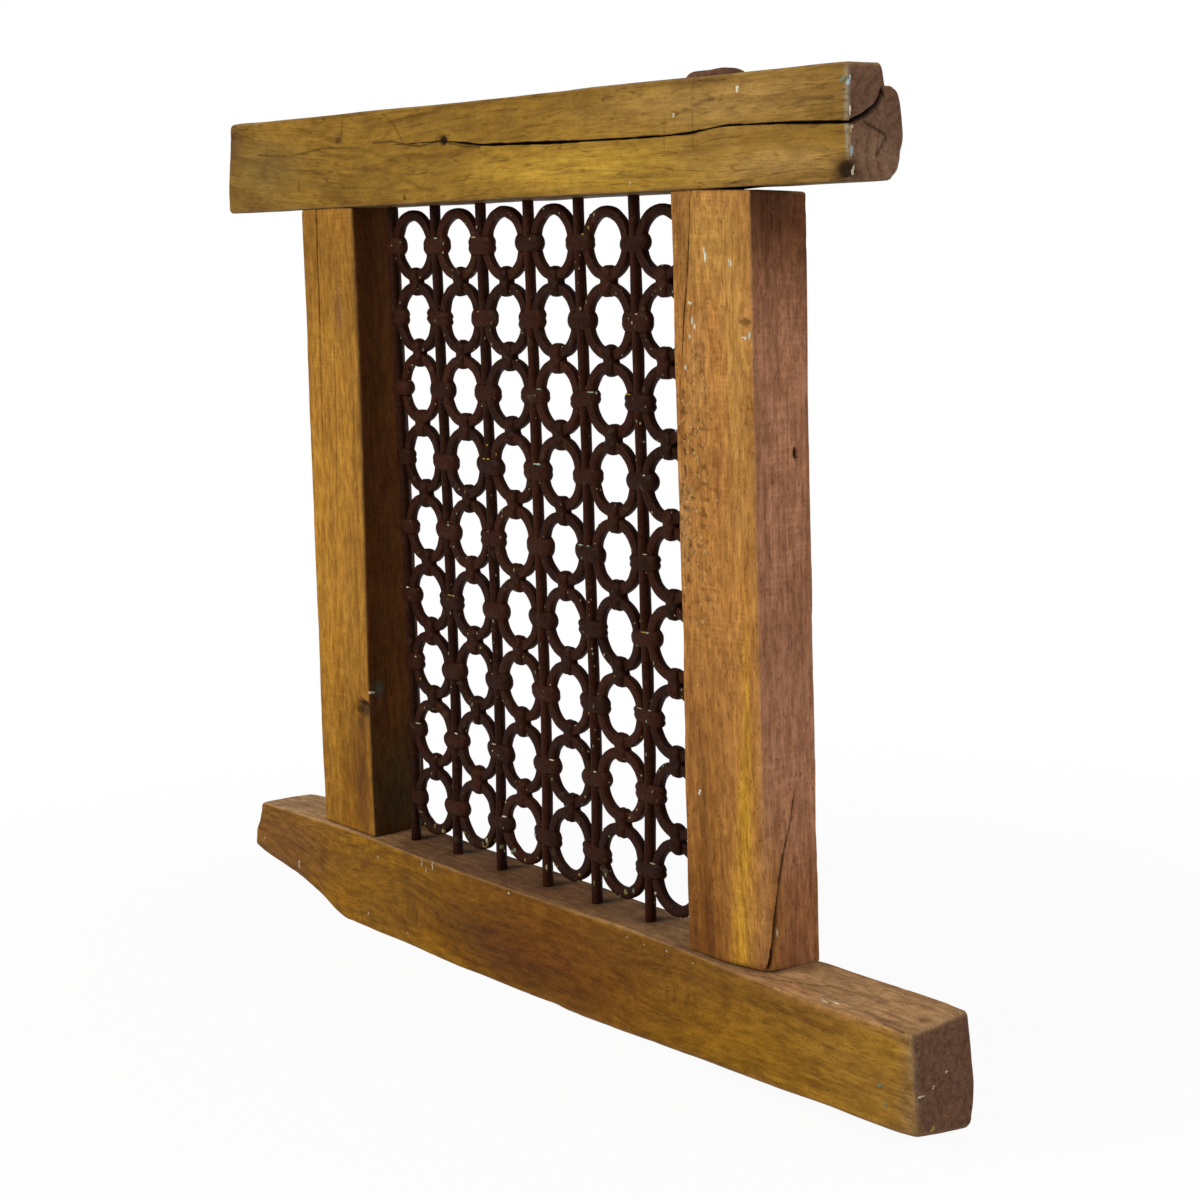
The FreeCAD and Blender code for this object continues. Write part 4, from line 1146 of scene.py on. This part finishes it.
columnLow, columnHigh = boxOf("ring_column_1")
ringPitch = ((columnHigh[2] - columnLow[2]) - (columnHigh[0] - columnLow[0])) / (ringForging["rows"] - 1)
for number in barNumbers:
    node = f"bar_collars_{number}"
    makeIron(f"barCollars{number}", node, collarsOf(node, ringForging["rows"], "bar"))
for column in columnNumbers:
    node = f"ring_collars_{column}"
    makeIron(f"ringCollars{column}", node, collarsOf(node, ringForging["rows"] - 1, "ring"))


# Old paint: small crusts left on the timbers and, more of them, in the corners of the iron; pale dashes on
# the collars are partly old paint and partly painted highlights

fleckTones = {"cream": (0.5, 0.43, 0.27), "green": (0.2, 0.22, 0.12), "yellow": (0.36, 0.25, 0.05),
              "blue": (0.34, 0.42, 0.4), "white": (0.66, 0.6, 0.45), "bone": (0.42, 0.35, 0.22),
              "olive": (0.17, 0.14, 0.045), "mint": (0.3, 0.42, 0.3), "sand": (0.47, 0.25, 0.075)}
backWay, leftWay, downWay = (0, 1, 0), (-1, 0, 0), (0, 0, -1)
# way to look and the plane near the surface; then each crust's place in that plane, width, height (all in
# millimetres) and tone
timberFlecks = [
    (backWay, -23, [
        (249.8, 594, 3.4, 11, "white"), (275.9, 588.4, 2.4, 7, "white"), (231.8, 562, 3.4, 3.6, "white"),
        (233.9, 548.6, 4.6, 7, "white"), (230.6, 537.8, 2.6, 4, "cream"), (223.7, 516.1, 3.6, 4, "white"),
        (256.2, 423.7, 2, 2.4, "cream"), (228.1, 207.6, 4.6, 4.2, "white"), (290.6, 537.5, 3.4, 4, "white")]),
    (backWay, -22, [(296, 540, 3, 6, "cream")]),
    (backWay, -23, [(229, 432, 34, 210, "sand")]),
    (leftWay, 291, [(-10.5, 114.4, 2.4, 4, "white")]),
    (backWay, -23, [(-244.5, 215.5, 5, 4, "white")]),
    (backWay, -26, [(293.8, 706.1, 5.4, 4.4, "white"), (221.8, 692.2, 4, 3.4, "cream")]),
    (downWay, 84, [(363, -24.2, 11, 2, "cream"), (373, -23, 9, 1.6, "white"), (382, -21.5, 8, 1.6, "cream")]),
    (backWay, -26, [(169.3, 647.1, 3, 1.6, "cream"), (399.5, 706, 6, 5, "green")]),
    (leftWay, 403, [
        (-24.2, 703, 3, 6, "blue"), (-24.4, 685, 2, 7, "white"), (-24.4, 674, 1.6, 4, "cream"),
        (-24, 660, 2.6, 8, "blue"), (-20.5, 649, 2.6, 7, "cream")]),
    (backWay, -31, [
        (-436.8, 48.9, 3, 2, "cream"), (-371.9, 33, 5, 7, "bone"), (-248.9, 15.2, 2.6, 2, "cream"),
        (-182.6, 11.4, 2.4, 1.8, "cream"), (-231.7, 70.3, 2.6, 2, "cream"), (-155, 79, 2.6, 7, "bone"),
        (-148, 77, 2.4, 8, "bone"), (-138, 79, 3, 6, "bone"), (-23.6, 80.5, 3, 1.6, "white"),
        (136, 79, 2, 1.6, "cream"), (158, 77.5, 1.6, 1.4, "cream"), (187, 78.5, 2, 1.4, "white"),
        (219, 77, 1.8, 1.6, "cream"), (425, 41.5, 7, 4, "green"), (429.7, 28.8, 5, 3, "green")]),
    (leftWay, 462, [
        (-25, 40.6, 5.4, 2.6, "cream"), (-15.3, 15.8, 4, 3.4, "yellow"), (0.7, 51.8, 2.4, 2.4, "cream"),
        (-12.9, 44.4, 2, 2, "cream")]),
]
# a crust breaks into a few bits, a patch of many crusts into more and smaller ones
fleckBits = {"patchFrom": 40, "crust": (3, 13), "patch": (110, 5), "spread": 0.24, "size": (0.4, 0.8)}
fleckDome = {"corners": 9, "uneven": 0.3, "reaches": (0.9, 1.0, 0.6), "sunk": 0.5 * mm, "proud": 0.1 * mm,
             "crown": 0.14, "shade": (0.7, 1.1)}
# the dashes on the collars are partly old paint and partly painted highlights
ironFlecks = {"many": 520, "crumbs": 44, "paintAndHighlightDashes": 60, "size": (0.5, 2.0), "crumbSize": (1.2, 3.6),
              "dashSize": ((2.5, 8), (0.8, 1.5)), "dashTones": ["mint", "mint", "bone", "white", "yellow"],
              "tones": ["bone", "bone", "green", "green", "olive", "olive", "yellow"], "tallShare": 1.5,
              "crumbHeight": 12 * mm, "across": (-0.9, 0.2), "inwards": 0.8, "upwards": (-0.4, 0.3),
              "dashAside": 11, "dashUp": 4.5 * mm, "dashWay": (-0.5, 0.83, -0.25)}


def fleckShell(place, normal, wide, tall, tone):
    # a low dome with an uneven rim, its foot a little under the surface it sits on
    upright = np.array((0.0, 0.0, 1.0)) if abs(normal[2]) < 0.9 else np.array((0.0, 1.0, 0.0))
    across = np.cross(upright, normal)
    across /= np.linalg.norm(across)
    rise = np.cross(normal, across)
    corners, proud = fleckDome["corners"], fleckDome["proud"]
    angle = fullTurn(corners)[None, :, None]
    rim = 1 + fleckDome["uneven"] * draw.uniform(-1, 1, (1, corners, 1))
    reach = np.array(fleckDome["reaches"])[:, None, None] * rim
    crown = proud + fleckDome["crown"] * min(wide, tall)
    height = np.array((-fleckDome["sunk"], proud, crown))[:, None, None]
    points = (np.array(place) + reach * (np.cos(angle) * wide / 2 * across + np.sin(angle) * tall / 2 * rise)
              + height * normal)
    shade = np.array(fleckTones[tone]) * draw.uniform(*fleckDome["shade"])
    return closedShell(points, {"tone": np.broadcast_to(shade, points.shape)}, flip=True)


def surfaceAt(spot, way, reach=60 * mm):
    # the first surface met on the way to a spot and a little past it
    way = np.array(way, float)
    start = (np.array(spot) - way * reach).tolist()
    graph = bpy.context.evaluated_depsgraph_get()
    hit, place, normal, _, piece, _ = scene.ray_cast(graph, start, way.tolist(), distance=1.3 * reach)
    return (np.array(place), np.array(normal), piece.name) if hit else None


def timberFleckShells():
    # the bits of each crust lie about its place
    shells = []
    for way, plane, rows in timberFlecks:
        axis = np.argmax(np.abs(way))
        across, upwards = np.delete(np.eye(3), axis, axis=0)
        for first, second, *size, tone in rows:
            spot = np.insert(np.array((first, second), float), axis, plane)
            bits, largest = fleckBits["crust" if max(size) < fleckBits["patchFrom"] else "patch"]
            for _ in range(bits):
                aside, above = (draw.normal(0, fleckBits["spread"], 2) * size)[:, None] * (across, upwards)
                found = surfaceAt((spot + aside + above) * mm, way)
                if found:
                    wide, tall = draw.uniform(*fleckBits["size"], 2) * np.minimum(size, largest) * mm
                    shells.append(fleckShell(*found[:2], wide, tall, tone))
    return shells


def ironFleckShells():
    # looked for from the front right, round the collars and, for the larger crumbs, under the lowest rings;
    # the dashes laid on the collars are partly old paint, partly painted highlights
    low, high = columnLow, columnHigh
    y, lastX = (low[1] + high[1]) / 2, boxOf("ring_column_6")[1][0]
    shells = []
    for number in range(ironFlecks["many"] + ironFlecks["crumbs"]):
        crumb = number >= ironFlecks["many"]
        x = draw.uniform(low[0], lastX)
        z = draw.uniform(low[2], low[2] + ironFlecks["crumbHeight"] if crumb else high[2])
        way = np.array((draw.uniform(*ironFlecks["across"]), ironFlecks["inwards"],
                        draw.uniform(*ironFlecks["upwards"])))
        found = surfaceAt((x, y, z), way / np.linalg.norm(way))
        if found and not any(timber in found[2] for timber in ("Jamb", "Sill", "Lintel")):
            wide, tall = draw.uniform(*ironFlecks["crumbSize" if crumb else "size"], 2) * mm
            tone = ironFlecks["tones"][draw.integers(len(ironFlecks["tones"]))]
            shells.append(fleckShell(*found[:2], wide, ironFlecks["tallShare"] * tall, tone))
    # pale dashes on the collars: partly old paint, partly painted highlights
    for _ in range(ironFlecks["paintAndHighlightDashes"]):
        bar = boxOf(f"bar_{draw.integers(barNumbers.start, barNumbers.stop)}")
        x = (bar[0][0] + bar[1][0]) / 2 + draw.uniform(-ironFlecks["dashAside"], ironFlecks["dashAside"]) * mm
        row = draw.integers(0, ringForging["rows"])
        z = low[2] + (high[0] - low[0]) / 2 + ringPitch * row + ironFlecks["dashUp"]
        wide, tall = (draw.uniform(*reach) * mm for reach in ironFlecks["dashSize"])
        tone = ironFlecks["dashTones"][draw.integers(len(ironFlecks["dashTones"]))]
        found = surfaceAt((x, y, z), ironFlecks["dashWay"])
        if found and "Collars" in found[2]:
            shells.append(fleckShell(*found[:2], wide, tall, tone))
    return shells


def paintAndHighlightMaterial():
    # each crust's own tone, nearly without sheen; it also carries the painted highlights of the dashes on the
    # collars
    material, tree, skin = newMaterial("oldPaint")
    tone = attribute(tree, "tone", "Color")
    feed(tree, skin, {"Base Color": tone, "Roughness": 0.75, "Specular IOR Level": 0.2})
    return material


oldPaint = paintAndHighlightMaterial()
bpy.context.view_layer.update()
makePiece("timberPaint", timberFleckShells(), oldPaint, [])
makePiece("ironPaint", ironFleckShells(), oldPaint, [])


# Floor, light and camera

studio = {"floorReach": 12.0, "floorTone": (0.8, 0.8, 0.8, 1), "shadowReach": (0.35, 1.1),
          "floorGlow": (0.94, 1.0), "skyLight": (0.34, 1.0)}
# place, aim, size, power and colour of each lamp
lamps = {"frontLamp": ((-0.9, -2.5, 1.7), (0.0, 0.0, 0.36), 1.6, 62, (1.0, 0.97, 0.92)),
         "sideLamp": ((2.6, 0.2, 1.3), (0.1, 0.0, 0.36), 1.4, 26, (0.9, 0.95, 1.0))}


def makeFloor():
    # a pale floor: white to the camera away from the object, and shaded by the object's shadow near it
    reach = studio["floorReach"]
    mesh = bpy.data.meshes.new("paleFloor")
    mesh.from_pydata([(-reach, -reach, 0), (reach, -reach, 0), (reach, reach, 0), (-reach, reach, 0)],
                     [], [(0, 1, 2, 3)])
    material, tree, skin = newMaterial("paleFloor")
    feed(tree, skin, {"Base Color": studio["floorTone"], "Roughness": 0.9, "Specular IOR Level": 0.0})
    far = lengthOf(tree, addNode(tree, "TexCoord", {})["Object"])
    ray = addNode(tree, "LightPath", {})
    seen = calc(tree, "MAXIMUM", ray["Is Camera Ray"], ray["Is Glossy Ray"])
    seen = calc(tree, "MAXIMUM", seen, ray["Is Transmission Ray"])
    share = calc(tree, "MULTIPLY", seen, span(tree, far, *studio["shadowReach"], *studio["floorGlow"]))
    glow = addNode(tree, "Emission", {"Color": (1, 1, 1, 1)})[0]
    mixed = addNode(tree, "MixShader", {0: share, 1: tree.nodes["Principled BSDF"].outputs[0], 2: glow})[0]
    feed(tree, tree.nodes["Material Output"].inputs, {"Surface": mixed})
    mesh.materials.append(material)
    floor = bpy.data.objects.new("paleFloor", mesh)
    scene.collection.objects.link(floor)


def addLamp(name, place, aim, size, power, colour):
    # a round lamp that shines at its aim
    lamp = bpy.data.lights.new(name, "AREA")
    lamp.shape = "DISK"
    lamp.size = size
    lamp.energy = power
    lamp.color = colour
    holder = bpy.data.objects.new(name, lamp)
    back = (Vector(place) - Vector(aim)).normalized()
    holder.matrix_world = Matrix.Translation(place) @ back.to_track_quat("Z", "Y").to_matrix().to_4x4()
    scene.collection.objects.link(holder)


def makeWorld():
    # white to the camera and in reflections, a plain soft light elsewhere
    world = bpy.data.worlds.new("studio")
    scene.world = world
    world.use_nodes = True
    tree = world.node_tree
    ray = addNode(tree, "LightPath", {})
    seen = calc(tree, "MAXIMUM", ray["Is Camera Ray"], ray["Is Transmission Ray"])
    strength = span(tree, seen, 0.0, 1.0, *studio["skyLight"])
    feed(tree, tree.nodes["Background"].inputs, {"Color": (1, 1, 1, 1), "Strength": strength})


makeFloor()
makeWorld()
for name, setting in lamps.items():
    addLamp(name, *setting)

view = {"place": (1.57237, -1.07809, 0.61616), "turn": 54.164, "pitch": 81.194, "roll": -1.892,
        "lens": 72.074, "sensor": 36}
camera = bpy.data.cameras.new("photoView")
camera.lens = view["lens"]
camera.sensor_width = view["sensor"]
cameraObject = bpy.data.objects.new("photoView", camera)
cameraObject.matrix_world = (Matrix.Translation(view["place"])
                             @ Matrix.Rotation(math.radians(view["turn"]), 4, "Z")
                             @ Matrix.Rotation(math.radians(view["pitch"]), 4, "X")
                             @ Matrix.Rotation(math.radians(view["roll"]), 4, "Z"))
scene.collection.objects.link(cameraObject)
scene.camera = cameraObject
print("light and camera set")
